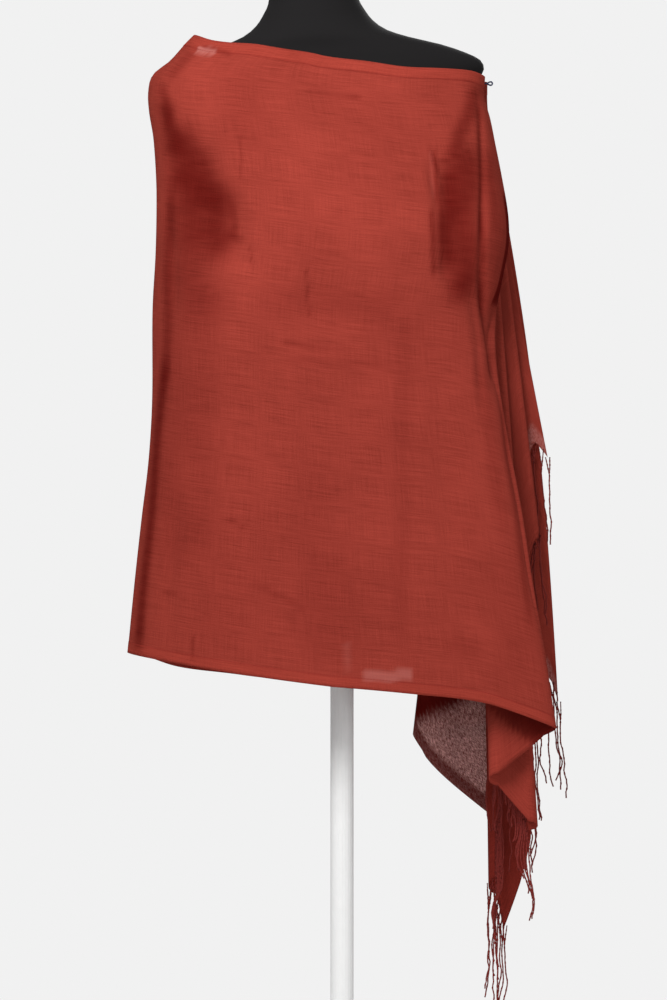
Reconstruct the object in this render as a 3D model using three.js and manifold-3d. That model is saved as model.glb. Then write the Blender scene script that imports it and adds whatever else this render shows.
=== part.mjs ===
import * as THREE from 'three';
import { mergeVertices } from 'three/addons/utils/BufferGeometryUtils.js';
import Module from 'manifold-3d';

// Frame: millimetres, Z up, front towards -Y, origin under the middle of the foot

// Cloth sizes
const WALL = 1.6;
const HEM_WALL = 2.8;
const HEM_WIDTH = 12;
const SEAM_GAP = 0.44;
const REST_GAP = 0.3;
const PIN_HEIGHT = 1322;
const LEFT_FOLD_DEPTH = 5;
const SIDE_SHARE = 0.15;
const BAND_ROWS = 13;
const ROW_BIAS = 1.5;
const END_START_ROW = 3;
const SLOPE = { left: 2.15, right: 2.6, back: 2.3 };

// Fringe sizes
const STRAND_RADIUS = 1.1;
const BACKING = 5;

// Pin sizes
const PIN_LOOP = 4.2;
const PIN_WIRE = 1.3;
const PIN_SHANK = 2.2;
const PIN_PLACE = { x: 163.8, y: -25, z: 1318.5 };

// Dress form and stand sizes
const LEAN = 2.8 * Math.PI / 180;
const TORSO_BOTTOM = 761;
const TORSO_HEIGHT = 610;
const TORSO_ROUND = 2.05;
const POLE_RADIUS = 13;
const COLLAR_RADIUS = 34;
const FOOT_RADIUS = 175;
const FOOT_HEIGHT = 13;
const BOSS_RADIUS = 24;
const BOSS_TOP = 42;

// Tables: the first column is the one looked up
const LEFT_FOLD = table(['height', 'x'], [
  [1377, -164], [1364, -177], [1346, -193.2], [1331, -211.8], [1312, -217],
  [1290, -216], [1262, -211.5], [1203, -208], [1135, -208.5], [1068, -212],
  [967, -212.5], [900, -216.5], [833, -224.5], [765, -232], [684, -240],
]);
const FRONT_EDGE = table(['height', 'x', 'y'], [
  [1326, 158.8, -20], [1305, 157.6, -24], [1278, 164.5, -28], [1252, 169.5, -31],
  [1215, 176.5, -36], [1171, 183.5, -43], [1138, 184, -48], [1100, 177, -56],
  [1060, 169.5, -64], [1008, 169.5, -71], [942, 178.5, -78], [842, 197, -84],
  [755, 210, -88], [693, 221, -90], [605, 234, -92],
]);
const BACK_EDGE = table(['height', 'x', 'y'], [
  [1326, 162, -10], [1312, 162.5, 6], [1296, 164, 26], [1276, 167.5, 43],
  [1230, 174, 53], [1150, 184, 67], [1000, 196, 92], [850, 207, 117],
  [700, 215, 141], [600, 219, 156],
]);
const FRONT_DEPTH = table(['height', 'y'], [
  [1375, -74], [1345, -80], [1300, -91], [1250, -108], [1205, -123],
  [1165, -133], [1130, -136], [1080, -134], [980, -128], [850, -122],
  [605, -118],
]);
const BACK_DEPTH = table(['height', 'y'], [
  [1375, 78], [1340, 86], [1300, 98], [1250, 109], [1180, 112], [1050, 114],
  [900, 123], [780, 137], [700, 148], [600, 161],
]);
const FRONT_TOP = table(['share', 'height'], [
  [0, 1375], [0.09, 1362], [0.16, 1358], [0.25, 1356.8], [0.33, 1352],
  [0.45, 1345.6], [0.53, 1340], [0.6, 1337], [0.73, 1330.8], [0.86, 1330],
  [0.95, 1329], [1, 1325.5],
]);
const BACK_TOP = table(['share', 'height'], [
  [0, 1375], [0.12, 1363], [0.3, 1352], [0.5, 1346], [0.75, 1338],
  [0.93, 1330], [1, 1322],
]);
const FRONT_HEM = table(['share', 'height'], [
  [0, 684.5], [0.12, 676], [0.32, 662], [0.5, 651.5], [0.67, 643],
  [0.75, 639.4], [0.83, 633], [0.9, 623], [0.96, 613], [1, 605.5],
]);
const BACK_HEM = table(['share', 'height'], [
  [0, 684.5], [0.12, 664], [0.3, 652], [0.5, 643], [0.75, 628], [1, 608],
]);

// One row for each fold of the front end, from the front panel inwards
const FRONT_END_FOLDS = table(['fold', 'side', 'topX', 'endX', 'endHeight', 'bow'], [
  [0, 1, 0, 234, 605.5, 0], [1, -1, 149, 161.5, 544, 0],
  [2, 1, 156, 216, 495, 3], [3, -1, 149, 167, 703, 0],
  [4, 1, 156, 219.5, 827, 2], [5, -1, 150, 171, 865, 0],
  [6, 1, 157, 230.5, 903, -3],
]);
// One row for each layer of the front end
const FRONT_END_LAYERS = table(['layer', 'topY', 'slope', 'topDrop'], [
  [0, -21, -0.079, 53], [1, -16.8, -0.058, 49], [2, -12.6, -0.04, 43],
  [3, -8.4, -0.024, 37], [4, -4.2, -0.008, 31], [5, 0, 0.006, 26],
]);
const FRONT_END_CORNER = { fold: 2, fraction: 0 };

// One row for each fold of the back end, from the back panel inwards
const BACK_END_FOLDS = table(['fold', 'side', 'topX', 'endX', 'endHeight', 'bow'], [
  [0, 1, 0, 219, 608, 0], [1, -1, 151, 82.5, 577.5, 4],
  [2, 1, 158, 217.5, 521.7, 3], [3, -1, 151, 168.5, 412, 0],
  [4, 1, 158, 220, 456, 3], [5, -1, 150, 168.5, 537, 0],
  [6, 1, 158, 223, 589, 4], [7, -1, 150, 173, 624, 0],
  [8, 1, 157, 243, 641, 6],
]);
// One row for each layer of the back end
const BACK_END_LAYERS = table(['layer', 'topY', 'slope', 'topDrop'], [
  [0, 34, 0.146, 52], [1, 30, 0.126, 48], [2, 26, 0.107, 44],
  [3, 22, 0.088, 40], [4, 18, 0.07, 36], [5, 14, 0.053, 32],
  [6, 10, 0.037, 28], [7, 5.5, 0.022, 25],
]);
const BACK_END_CORNER = { layer: 3, fraction: 0.26, height: 362.6 };

// Rows of the dress form, heights from the base of its neck
const TORSO = table(['height', 'halfWidth', 'front', 'back'], [
  [-610, 140, 84, 88], [-604, 148, 92, 96], [-585, 154, 97, 102],
  [-540, 152, 98, 104], [-480, 136, 95, 98], [-430, 121, 90, 87],
  [-400, 117, 88, 81], [-370, 119, 90, 78], [-330, 129, 100, 80],
  [-280, 144, 116, 86], [-230, 153, 127, 92], [-195, 154, 123, 96],
  [-160, 157, 112, 99], [-120, 161, 95, 100], [-95, 165, 86, 97],
  [-75, 171, 75, 86], [-62, 177, 69, 80], [-51.2, 181.8, 65, 75],
  [-42.2, 183.5, 62, 72], [-31.9, 178.5, 59, 69], [-23.3, 166, 58, 68],
  [-13, 142, 57, 68], [-3.4, 107.5, 58, 70], [5.8, 82.2, 56, 67],
  [17.8, 66, 53, 62], [33, 55.5, 51, 56], [42.2, 51, 50, 53],
  [60, 48.5, 48.5, 50], [82, 47, 47, 48],
]);

// Colours and finishes
const FINISH = {
  cloth: { color: 0x97402f, roughness: 0.86, metalness: 0 },
  inner: { color: 0x7d2c22, roughness: 0.88, metalness: 0 },
  fringe: { color: 0x8a3427, roughness: 0.9, metalness: 0 },
  form: { color: 0x262425, roughness: 0.9, metalness: 0 },
  stand: { color: 0xe9e9e7, roughness: 0.45, metalness: 0 },
  pin: { color: 0x1d2340, roughness: 0.35, metalness: 0.5 },
};

function table(columns, rows) {
  return rows.map((row) => Object.fromEntries(columns.map((name, i) => [name, row[i]])));
}

const mix = (a, b, t) => a + (b - a) * t;
const clamp = (v, lo, hi) => Math.min(hi, Math.max(lo, v));

// Smooth reading of one column of a table
function read(rows, column, value) {
  const key = Object.keys(rows[0])[0];
  const up = rows[rows.length - 1][key] > rows[0][key];
  const list = up ? rows : rows.slice().reverse();
  const last = list.length - 2;
  let i = 0;
  while (i < last && value > list[i + 1][key]) i += 1;
  const a = list[i];
  const b = list[i + 1];
  const span = b[key] - a[key];
  const t = (value - a[key]) / span;
  const slopeAt = (k) => {
    const p = list[Math.max(k - 1, 0)];
    const n = list[Math.min(k + 1, list.length - 1)];
    return (n[column] - p[column]) / (n[key] - p[key]);
  };
  if (t < 0) return a[column] + slopeAt(i) * t * span;
  if (t > 1) return b[column] + slopeAt(i + 1) * (t - 1) * span;
  const t2 = t * t;
  const t3 = t2 * t;
  return (2 * t3 - 3 * t2 + 1) * a[column] + (t3 - 2 * t2 + t) * span * slopeAt(i)
    + (3 * t2 - 2 * t3) * b[column] + (t3 - t2) * span * slopeAt(i + 1);
}

// Share of the width reached at a place along the half turn
function shareAt(along) {
  const c = Math.cos(along * Math.PI);
  return 0.5 * (1 - Math.sign(c) * Math.abs(c) ** 0.9);
}

// One point of the half turn in front or behind, drop 0 at the top edge, 1 at the hem
function halfTurn(along, drop, shape) {
  const share = shareAt(along);
  const z = mix(read(shape.top, 'height', share), read(shape.hem, 'height', share), drop);
  const left = read(LEFT_FOLD, 'x', z);
  const right = read(shape.edge, 'x', z);
  const middle = mix(left, right, shape.middle);
  const far = read(shape.depth, 'y', z);
  const c = Math.abs(Math.cos(along * Math.PI));
  const s = Math.abs(Math.sin(along * Math.PI));
  const onLeft = along < 0.5;
  const power = 2 / (onLeft ? SLOPE.left : shape.power);
  const side = onLeft ? left : right;
  const sideY = onLeft ? LEFT_FOLD_DEPTH : read(shape.edge, 'y', z);
  const x = middle + (side - middle) * c ** power;
  const y = sideY + (far - sideY) * s ** power;
  return new THREE.Vector3(x, y, z);
}

const FRONT = {
  top: FRONT_TOP, hem: FRONT_HEM, edge: FRONT_EDGE, depth: FRONT_DEPTH,
  power: SLOPE.right, middle: 0.5,
};
const BACK = {
  top: BACK_TOP, hem: BACK_HEM, edge: BACK_EDGE, depth: BACK_DEPTH,
  power: SLOPE.back, middle: 0.45,
};

const frontPoint = (along, drop) => halfTurn(along, drop, FRONT);
const backPoint = (along, drop) => halfTurn(along, drop, BACK);

// Around the left fold: -1 on the back seam, 1 on the front seam
function leftPoint(turn, drop) {
  const along = Math.abs(turn) * SIDE_SHARE;
  return turn < 0 ? backPoint(along, drop) : frontPoint(along, drop);
}

// X of a fold line at a height
function foldX(end, k, z) {
  const row = end.folds[k];
  if (k === 0) return read(end.edge, 'x', z);
  const t = (PIN_HEIGHT - z) / (PIN_HEIGHT - row.endHeight);
  return mix(row.topX, row.endX, t) + row.bow * Math.sin(Math.PI * clamp(t, 0, 1));
}

// Y of a layer at a height
function layerY(end, j, z) {
  if (j < 0) return read(end.edge, 'y', z);
  const row = end.layers[j];
  return row.topY + row.slope * (PIN_HEIGHT - z);
}

// Plan of a zigzag end: fold arcs and straight layers, as a list of stations
function stations(end, arcSteps, straightSteps) {
  const list = [];
  const folds = end.folds.length;
  for (let k = 0; k < folds; k += 1) {
    if (k < folds - 1) {
      const first = k === 0 ? 0 : -90;
      const steps = k === 0 ? Math.ceil(arcSteps / 2) : arcSteps;
      for (let i = 0; i <= steps; i += 1) {
        list.push({ kind: 'arc', fold: k, angle: mix(first, 90, i / steps) });
      }
    }
    if (k < folds - 1) {
      for (let i = 1; i < straightSteps; i += 1) {
        list.push({ kind: 'straight', layer: k, fraction: i / straightSteps });
      }
    }
  }
  list.push({ kind: 'straight', layer: folds - 2, fraction: 1 });
  return list;
}

// Radius of a fold at a height
function foldRadius(end, k, z) {
  if (k === 0) return Math.abs(layerY(end, 0, z) - layerY(end, -1, z));
  if (k > end.layers.length - 1) return 0;
  return Math.abs(layerY(end, k, z) - layerY(end, k - 1, z)) / 2;
}

// Point of the plan at a station and height
function planPoint(end, station, z) {
  const toBack = end.toBack;
  if (station.kind === 'arc') {
    const k = station.fold;
    const r = foldRadius(end, k, z);
    const a = station.angle * Math.PI / 180;
    const side = end.folds[k].side;
    const x = foldX(end, k, z) - side * r * (1 - Math.cos(a));
    const base = k === 0 ? layerY(end, -1, z) : (layerY(end, k, z) + layerY(end, k - 1, z)) / 2;
    return new THREE.Vector3(x, base + toBack * r * Math.sin(a), z);
  }
  const j = station.layer;
  const from = foldX(end, j, z) - end.folds[j].side * foldRadius(end, j, z);
  const next = end.folds[j + 1];
  const to = foldX(end, j + 1, z) - next.side * foldRadius(end, j + 1, z);
  return new THREE.Vector3(mix(from, to, station.fraction), layerY(end, j, z), z);
}

// Height where the cloth ends below a station
function endHeight(end, station) {
  if (station.kind === 'arc') return end.folds[station.fold].endHeight;
  const j = station.layer;
  const a = end.folds[j].endHeight;
  const b = end.folds[j + 1].endHeight;
  const corner = end.corner;
  if (corner.layer !== j) return mix(a, b, station.fraction);
  if (station.fraction < corner.fraction) {
    return mix(a, corner.height, station.fraction / corner.fraction);
  }
  return mix(corner.height, b, (station.fraction - corner.fraction) / (1 - corner.fraction));
}

// Height taken by one millimetre across the cut edge at a station
function steepness(end, station) {
  const ofLayer = (j) => {
    if (j < 0 || j > end.layers.length - 1) return 1;
    const a = end.folds[j];
    const b = end.folds[j + 1];
    let rise = a.endHeight - b.endHeight;
    let run = a.endX - b.endX;
    if (end.corner.layer === j) {
      rise = end.corner.height - b.endHeight;
      run *= 1 - end.corner.fraction;
    }
    return Math.min(Math.hypot(rise, run) / Math.abs(run), 5);
  };
  if (station.kind === 'straight') return ofLayer(station.layer);
  return mix(ofLayer(station.fold - 1), ofLayer(station.fold), (station.angle + 90) / 180);
}

// Height where the gathered cloth starts below the pin at a station
function startHeight(end, station) {
  const last = end.layers.length - 1;
  if (station.fold === 0) {
    const start = edgeHeights(end.surface)[0];
    return mix(start, PIN_HEIGHT - end.layers[0].topDrop, station.angle / 90);
  }
  const j = station.kind === 'arc' ? station.fold : station.layer;
  const here = end.layers[clamp(j, 0, last)].topDrop;
  const before = end.layers[clamp(j - 1, 0, last)].topDrop;
  const next = end.layers[clamp(j + 1, 0, last)].topDrop;
  if (station.kind === 'arc') {
    return PIN_HEIGHT - mix(before, here, (station.angle + 90) / 180);
  }
  return PIN_HEIGHT - mix(here, mix(here, next, 0.1), station.fraction);
}

// True where the end is a fringed short edge rather than a hem
function fringed(end, station) {
  const corner = end.corner;
  const place = station.kind === 'arc'
    ? station.fold - 0.5 + (station.angle + 90) / 180 * 0.2
    : station.layer + station.fraction * 0.5 - 0.2;
  const edge = corner.layer === undefined
    ? corner.fold - 0.5 + 0.19
    : corner.layer + corner.fraction * 0.5 - 0.2 + 0.001;
  return place >= edge;
}

const FRONT_END = {
  folds: FRONT_END_FOLDS, layers: FRONT_END_LAYERS, edge: FRONT_EDGE,
  corner: FRONT_END_CORNER, toBack: 1, surface: frontPoint,
};
const BACK_END = {
  folds: BACK_END_FOLDS, layers: BACK_END_LAYERS, edge: BACK_EDGE,
  corner: BACK_END_CORNER, toBack: -1, surface: backPoint,
};

// Closed wall from a grid of middle points with their normals and thicknesses
function wallGeometry(points, normals, thick) {
  const columns = points.length;
  const rows = points[0].length;
  const positions = [];
  const index = [];
  for (const sign of [1, -1]) {
    for (let i = 0; i < columns; i += 1) {
      for (let j = 0; j < rows; j += 1) {
        const p = points[i][j].clone().addScaledVector(normals[i][j], sign * thick[i][j] / 2);
        positions.push(p.x, p.y, p.z);
      }
    }
  }
  const at = (side, i, j) => side * columns * rows + i * rows + j;
  const quad = (a, b, c, d) => index.push(a, b, c, a, c, d);
  for (let i = 0; i < columns - 1; i += 1) {
    for (let j = 0; j < rows - 1; j += 1) {
      quad(at(0, i, j), at(0, i + 1, j), at(0, i + 1, j + 1), at(0, i, j + 1));
      quad(at(1, i, j), at(1, i, j + 1), at(1, i + 1, j + 1), at(1, i + 1, j));
    }
  }
  for (let i = 0; i < columns - 1; i += 1) {
    quad(at(0, i, 0), at(1, i, 0), at(1, i + 1, 0), at(0, i + 1, 0));
    const e = rows - 1;
    quad(at(0, i, e), at(0, i + 1, e), at(1, i + 1, e), at(1, i, e));
  }
  for (let j = 0; j < rows - 1; j += 1) {
    quad(at(0, 0, j), at(0, 0, j + 1), at(1, 0, j + 1), at(1, 0, j));
    const e = columns - 1;
    quad(at(0, e, j), at(1, e, j), at(1, e, j + 1), at(0, e, j + 1));
  }
  return solidGeometry(positions, index);
}

// Triangles turned outwards by the sign of the volume
function solidGeometry(positions, index) {
  let volume = 0;
  const p = (k) => new THREE.Vector3(positions[3 * k], positions[3 * k + 1], positions[3 * k + 2]);
  for (let i = 0; i < index.length; i += 3) {
    volume += p(index[i]).dot(p(index[i + 1]).cross(p(index[i + 2])));
  }
  if (volume < 0) {
    for (let i = 0; i < index.length; i += 3) {
      [index[i + 1], index[i + 2]] = [index[i + 2], index[i + 1]];
    }
  }
  const geometry = new THREE.BufferGeometry();
  geometry.setAttribute('position', new THREE.Float32BufferAttribute(positions, 3));
  geometry.setIndex(index);
  geometry.computeVertexNormals();
  return geometry;
}

// Unit normal of a surface by its differences both ways
function normalOf(surface, a, b, stepA, stepB) {
  const across = surface(Math.min(a + stepA, 1), b).sub(surface(a - stepA, b));
  const down = surface(a, b + stepB).sub(surface(a, b - stepB));
  return across.cross(down).normalize();
}

// Wall of a half turn or of the left stretch, with hems top and bottom
function bandWall(surface, fromA, toA, columns) {
  const points = [];
  const normals = [];
  const thick = [];
  for (let i = 0; i <= columns; i += 1) {
    const a = mix(fromA, toA, i / columns);
    const downs = bandDrops(surface(a, 0).distanceTo(surface(a, 1)));
    points.push(downs.map((b) => surface(a, b)));
    normals.push(downs.map((b) => normalOf(surface, a, b, 1e-4, 1e-3)));
    thick.push(downs.map((b, j) => (j === 0 || j >= downs.length - 1 ? HEM_WALL : WALL)));
  }
  drawBack(points, 0, 1);
  drawBack(points, columns, columns - 1);
  return wallGeometry(points, normals, thick);
}

// Draws one column of points back from a seam by half the gap
function drawBack(points, edge, inside) {
  points[edge] = points[edge].map((p, j) => {
    const away = points[inside][j].clone().sub(p).normalize();
    return p.clone().addScaledVector(away, SEAM_GAP / 2);
  });
}

// Heights of the rows along the right edge of a half turn, where the gathered end joins it
function edgeHeights(surface) {
  const length = surface(1, 0).distanceTo(surface(1, 1));
  return bandDrops(length).slice(END_START_ROW).map((b) => surface(1, b).z);
}

function bandDrops(length) {
  const hem = HEM_WIDTH / length;
  const downs = [0, hem];
  for (let j = 1; j < BAND_ROWS; j += 1) downs.push(mix(hem, 1 - hem, (j / BAND_ROWS) ** ROW_BIAS));
  downs.push(1 - hem, 1);
  return downs;
}

// Normal of a zigzag end at a station
function endNormal(end, station, z) {
  let across;
  if (station.kind === 'arc') {
    const a = station.angle * Math.PI / 180;
    const side = end.folds[station.fold].side;
    across = new THREE.Vector3(-side * Math.sin(a), end.toBack * Math.cos(a), 0);
  } else {
    across = new THREE.Vector3(-end.folds[station.layer].side, 0, 0);
  }
  const down = planPoint(end, station, z - 1).sub(planPoint(end, station, z + 1));
  return across.cross(down).normalize();
}

// Wall of a zigzag end between two shares of its drop
function endWall(end, list, rowsDown, thickness) {
  const points = [];
  const normals = [];
  const thick = [];
  list.forEach((station) => {
    const heights = rowsDown(station);
    points.push(heights.map((z) => planPoint(end, station, z)));
    normals.push(heights.map((z) => endNormal(end, station, z)));
    thick.push(heights.map((z, j) => thickness(station, j, heights.length)));
  });
  if (list[0].angle === 0) drawBack(points, 0, 1);
  return wallGeometry(points, normals, thick);
}

function clothEnd(end) {
  const list = stations(end, 4, 2);
  if (end.corner.layer !== undefined) {
    const at = list.findIndex((s) => s.layer === end.corner.layer && s.fraction > end.corner.fraction);
    const corner = { kind: 'straight', layer: end.corner.layer, fraction: end.corner.fraction };
    list.splice(at, 0, corner);
  }
  const edge = edgeHeights(end.surface);
  const last = edge[edge.length - 1];
  const shares = edge.map((z) => (edge[0] - z) / (edge[0] - last));
  const heightsOf = (station) => {
    const top = startHeight(end, station);
    const cut = fringed(end, station) ? (BACKING + 2 * REST_GAP) * steepness(end, station) : 0;
    return shares.map((share) => mix(top, endHeight(end, station) + cut, share));
  };
  const thickness = (station, j, count) => {
    const hem = j === count - 1 && !fringed(end, station);
    return hem ? HEM_WALL - 0.6 : WALL;
  };
  return { geometry: endWall(end, list, heightsOf, thickness), list };
}

// Backing strip along the fringed edge, with strands fused to it
function fringe(end, list, count, lengths, seed, wasm) {
  const edge = list.filter((station) => fringed(end, station));
  const heightsOf = (station) => {
    const bottom = endHeight(end, station);
    return [bottom + BACKING * steepness(end, station), bottom];
  };
  const strip = endWall(end, edge, heightsOf, () => WALL);
  let solid = toManifold(strip, wasm);
  const random = randomFrom(seed);
  const marks = [];
  let run = 0;
  edge.forEach((station, i) => {
    const p = planPoint(end, station, endHeight(end, station));
    if (i > 0) run += p.distanceTo(marks[i - 1].p);
    marks.push({ p, run });
  });
  for (let n = 0; n < count; n += 1) {
    const target = mix(4, run - 1.5, n / (count - 1));
    let i = 1;
    while (i < marks.length - 1 && marks[i].run < target) i += 1;
    const t = (target - marks[i - 1].run) / (marks[i].run - marks[i - 1].run);
    const root = marks[i - 1].p.clone().lerp(marks[i].p, t);
    const length = mix(lengths[0], lengths[1], random());
    const sway = mix(-1.5, 1.5, random());
    solid = solid.add(strand(root, length, sway, random() * 2, wasm));
  }
  return fromManifold(solid);
}

// Strand of three sides hanging from a root just inside the strip
function strand(root, length, sway, twist, wasm) {
  const positions = [];
  const index = [];
  const levels = [-2, length * 0.5, length];
  levels.forEach((down, j) => {
    const r = j === levels.length - 1 ? STRAND_RADIUS * 0.7 : STRAND_RADIUS;
    const lean = sway * Math.sin(down / length * 2.2);
    for (let k = 0; k < 3; k += 1) {
      const a = twist + k * 2 * Math.PI / 3;
      positions.push(root.x + lean + r * Math.cos(a), root.y + r * Math.sin(a), root.z - down);
    }
  });
  for (let j = 0; j < levels.length - 1; j += 1) {
    for (let k = 0; k < 3; k += 1) {
      const a = j * 3 + k;
      const b = j * 3 + (k + 1) % 3;
      index.push(a, b + 3, b, a, a + 3, b + 3);
    }
  }
  const e = (levels.length - 1) * 3;
  index.push(0, 1, 2, e, e + 2, e + 1);
  return toManifold(solidGeometry(positions, index), wasm);
}

function randomFrom(seed) {
  let state = seed;
  return () => {
    state = (state * 1103515245 + 12345) % 2147483648;
    return state / 2147483648;
  };
}

function toManifold(geometry, wasm) {
  return new wasm.Manifold(new wasm.Mesh({
    numProp: 3,
    vertProperties: new Float32Array(geometry.getAttribute('position').array),
    triVerts: new Uint32Array(geometry.getIndex().array),
  }));
}

function fromManifold(solid) {
  const mesh = solid.getMesh();
  const geometry = new THREE.BufferGeometry();
  geometry.setAttribute('position', new THREE.BufferAttribute(new Float32Array(mesh.vertProperties), 3));
  geometry.setIndex(new THREE.BufferAttribute(new Uint32Array(mesh.triVerts), 1));
  geometry.computeVertexNormals();
  return geometry;
}

// Closed loft of rings with a middle point at each end
function loft(rings) {
  const positions = [];
  const index = [];
  const count = rings[0].length;
  rings.forEach((ring) => ring.forEach((p) => positions.push(p.x, p.y, p.z)));
  const middle = (ring) => ring.reduce((sum, p) => sum.add(p), new THREE.Vector3()).divideScalar(count);
  for (const ring of [rings[0], rings[rings.length - 1]]) {
    const m = middle(ring);
    positions.push(m.x, m.y, m.z);
  }
  for (let j = 0; j < rings.length - 1; j += 1) {
    for (let k = 0; k < count; k += 1) {
      const a = j * count + k;
      const b = j * count + (k + 1) % count;
      index.push(a, b, b + count, a, b + count, a + count);
    }
  }
  const low = rings.length * count;
  const top = (rings.length - 1) * count;
  for (let k = 0; k < count; k += 1) {
    index.push(low, (k + 1) % count, k, low + 1, top + k, top + (k + 1) % count);
  }
  return solidGeometry(positions, index);
}

// Dress form frame to the part's frame
function leaning(p) {
  const z = p.z + TORSO_HEIGHT;
  return new THREE.Vector3(
    p.x * Math.cos(LEAN) - z * Math.sin(LEAN),
    p.y,
    TORSO_BOTTOM + p.x * Math.sin(LEAN) + z * Math.cos(LEAN),
  );
}

function torsoRing(row, sides, inset = 0) {
  const ring = [];
  for (let k = 0; k < sides; k += 1) {
    const a = k / sides * 2 * Math.PI;
    const c = Math.cos(a);
    const s = Math.sin(a);
    const x = (row.halfWidth - inset) * Math.sign(c) * Math.abs(c) ** (2 / TORSO_ROUND);
    const depth = (s < 0 ? row.front : row.back) - inset;
    const y = depth * Math.sign(s) * Math.abs(s) ** (2 / TORSO_ROUND);
    ring.push(leaning(new THREE.Vector3(x, y, row.height)));
  }
  return ring;
}

function torso() {
  return loft(TORSO.map((row) => torsoRing(row, 36)));
}

function neckCap() {
  const top = TORSO[TORSO.length - 1];
  const levels = table(['up', 'inset'], [[0.3, 0.5], [5, 0.5], [7.5, 3], [9, 9]]);
  return loft(levels.map((level) => torsoRing({ ...top, height: top.height + level.up }, 36, level.inset)));
}

function pole() {
  const sides = 24;
  const levels = table(['height', 'radius'], [
    [BOSS_TOP + REST_GAP, POLE_RADIUS], [TORSO_BOTTOM - 34, POLE_RADIUS],
    [TORSO_BOTTOM - 12, COLLAR_RADIUS - 6], [TORSO_BOTTOM - 7, COLLAR_RADIUS],
    [TORSO_BOTTOM - REST_GAP, COLLAR_RADIUS],
  ]);
  return loft(levels.map((level, j) => {
    const ring = [];
    for (let k = 0; k < sides; k += 1) {
      const a = k / sides * 2 * Math.PI;
      const x = level.radius * Math.cos(a);
      const tilt = j >= 3 ? x * Math.tan(LEAN) : 0;
      ring.push(new THREE.Vector3(x, level.radius * Math.sin(a), level.height + tilt));
    }
    return ring;
  }));
}

function foot() {
  const profile = [
    [0, 0], [FOOT_RADIUS - 2, 0], [FOOT_RADIUS, 2], [FOOT_RADIUS, FOOT_HEIGHT - 5],
    [FOOT_RADIUS - 5, FOOT_HEIGHT], [BOSS_RADIUS + 8, FOOT_HEIGHT + 1],
    [BOSS_RADIUS, FOOT_HEIGHT + 6], [BOSS_RADIUS, BOSS_TOP - 2], [BOSS_RADIUS - 2, BOSS_TOP],
    [0, BOSS_TOP],
  ].map(([r, z]) => new THREE.Vector2(r, z));
  const geometry = new THREE.LatheGeometry(profile, 40);
  geometry.rotateX(Math.PI / 2);
  return geometry;
}

// Pin through the gathered cloth at the shoulder, with its wire loop outside
function pin(wasm) {
  const profile = (radius, sides) => {
    const shape = new THREE.Shape();
    for (let k = 0; k <= sides; k += 1) {
      const a = k / sides * 2 * Math.PI;
      if (k === 0) shape.moveTo(radius, 0);
      else shape.lineTo(radius * Math.cos(a), radius * Math.sin(a));
    }
    return shape;
  };
  const loop = new THREE.TorusGeometry(PIN_LOOP / 2, PIN_WIRE / 2, 8, 20);
  loop.scale(1.25, 0.85, 1);
  loop.rotateX(Math.PI / 2);
  const shank = new THREE.ExtrudeGeometry(profile(PIN_WIRE * 0.35, 8), {
    depth: PIN_SHANK, bevelEnabled: false, steps: 1,
  });
  shank.rotateY(-Math.PI / 2);
  shank.translate(-PIN_LOOP / 2 * 1.25 + 0.3, 0, 0);
  const solid = toManifold(weld(loop), wasm).add(toManifold(weld(shank), wasm));
  const at = PIN_PLACE;
  return fromManifold(solid.rotate([0, 0, 0]).translate([at.x, at.y, at.z]));
}

// Welded copy with only positions
function weld(geometry) {
  const bare = new THREE.BufferGeometry();
  bare.setAttribute('position', geometry.getAttribute('position'));
  if (geometry.getIndex()) bare.setIndex(geometry.getIndex());
  return mergeVertices(bare, 1e-4);
}

function named(name, geometry, finish) {
  const material = new THREE.MeshStandardMaterial(finish);
  const mesh = new THREE.Mesh(geometry, material);
  mesh.name = name;
  return mesh;
}

const wasm = await Module();
wasm.setup();

const part = new THREE.Group();
part.name = 'scarf_on_dress_form';
part.add(named('scarf_front', bandWall(frontPoint, SIDE_SHARE, 1, 26), FINISH.cloth));
part.add(named('scarf_left_shoulder', bandWall(leftPoint, -1, 1, 10), FINISH.cloth));
part.add(named('scarf_back', bandWall(backPoint, SIDE_SHARE, 1, 22), FINISH.cloth));
const frontEnd = clothEnd(FRONT_END);
part.add(named('scarf_front_end', frontEnd.geometry, FINISH.inner));
const backEnd = clothEnd(BACK_END);
part.add(named('scarf_back_end', backEnd.geometry, FINISH.inner));
part.add(named('fringe_front_end', fringe(FRONT_END, frontEnd.list, 34, [84, 112], 7, wasm), FINISH.fringe));
part.add(named('fringe_back_end', fringe(BACK_END, backEnd.list, 32, [108, 128], 19, wasm), FINISH.fringe));
part.add(named('shoulder_pin', pin(wasm), FINISH.pin));
part.add(named('form_torso', torso(), FINISH.form));
part.add(named('form_neck_cap', neckCap(), FINISH.form));
part.add(named('stand_pole', pole(), FINISH.stand));
part.add(named('stand_foot', foot(), FINISH.stand));

export default part;
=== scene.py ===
import math
import bpy
import numpy as np
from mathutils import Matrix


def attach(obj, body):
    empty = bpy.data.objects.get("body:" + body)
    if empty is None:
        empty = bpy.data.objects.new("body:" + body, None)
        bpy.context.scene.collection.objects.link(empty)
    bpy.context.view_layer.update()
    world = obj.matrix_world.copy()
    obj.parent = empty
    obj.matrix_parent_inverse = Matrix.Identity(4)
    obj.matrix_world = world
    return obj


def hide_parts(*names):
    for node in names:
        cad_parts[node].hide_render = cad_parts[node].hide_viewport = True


bl_info = {
    "name": "Fringed scarf on a dress form",
    "version": (1, 0, 0),
    "blender": (4, 5, 0),
    "location": "View3D > Sidebar > Scarf",
    "description": "Sheer cloth, hems, stitches, fringe and finishes for a scarf pinned round a dress form",
    "category": "Object",
}

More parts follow.
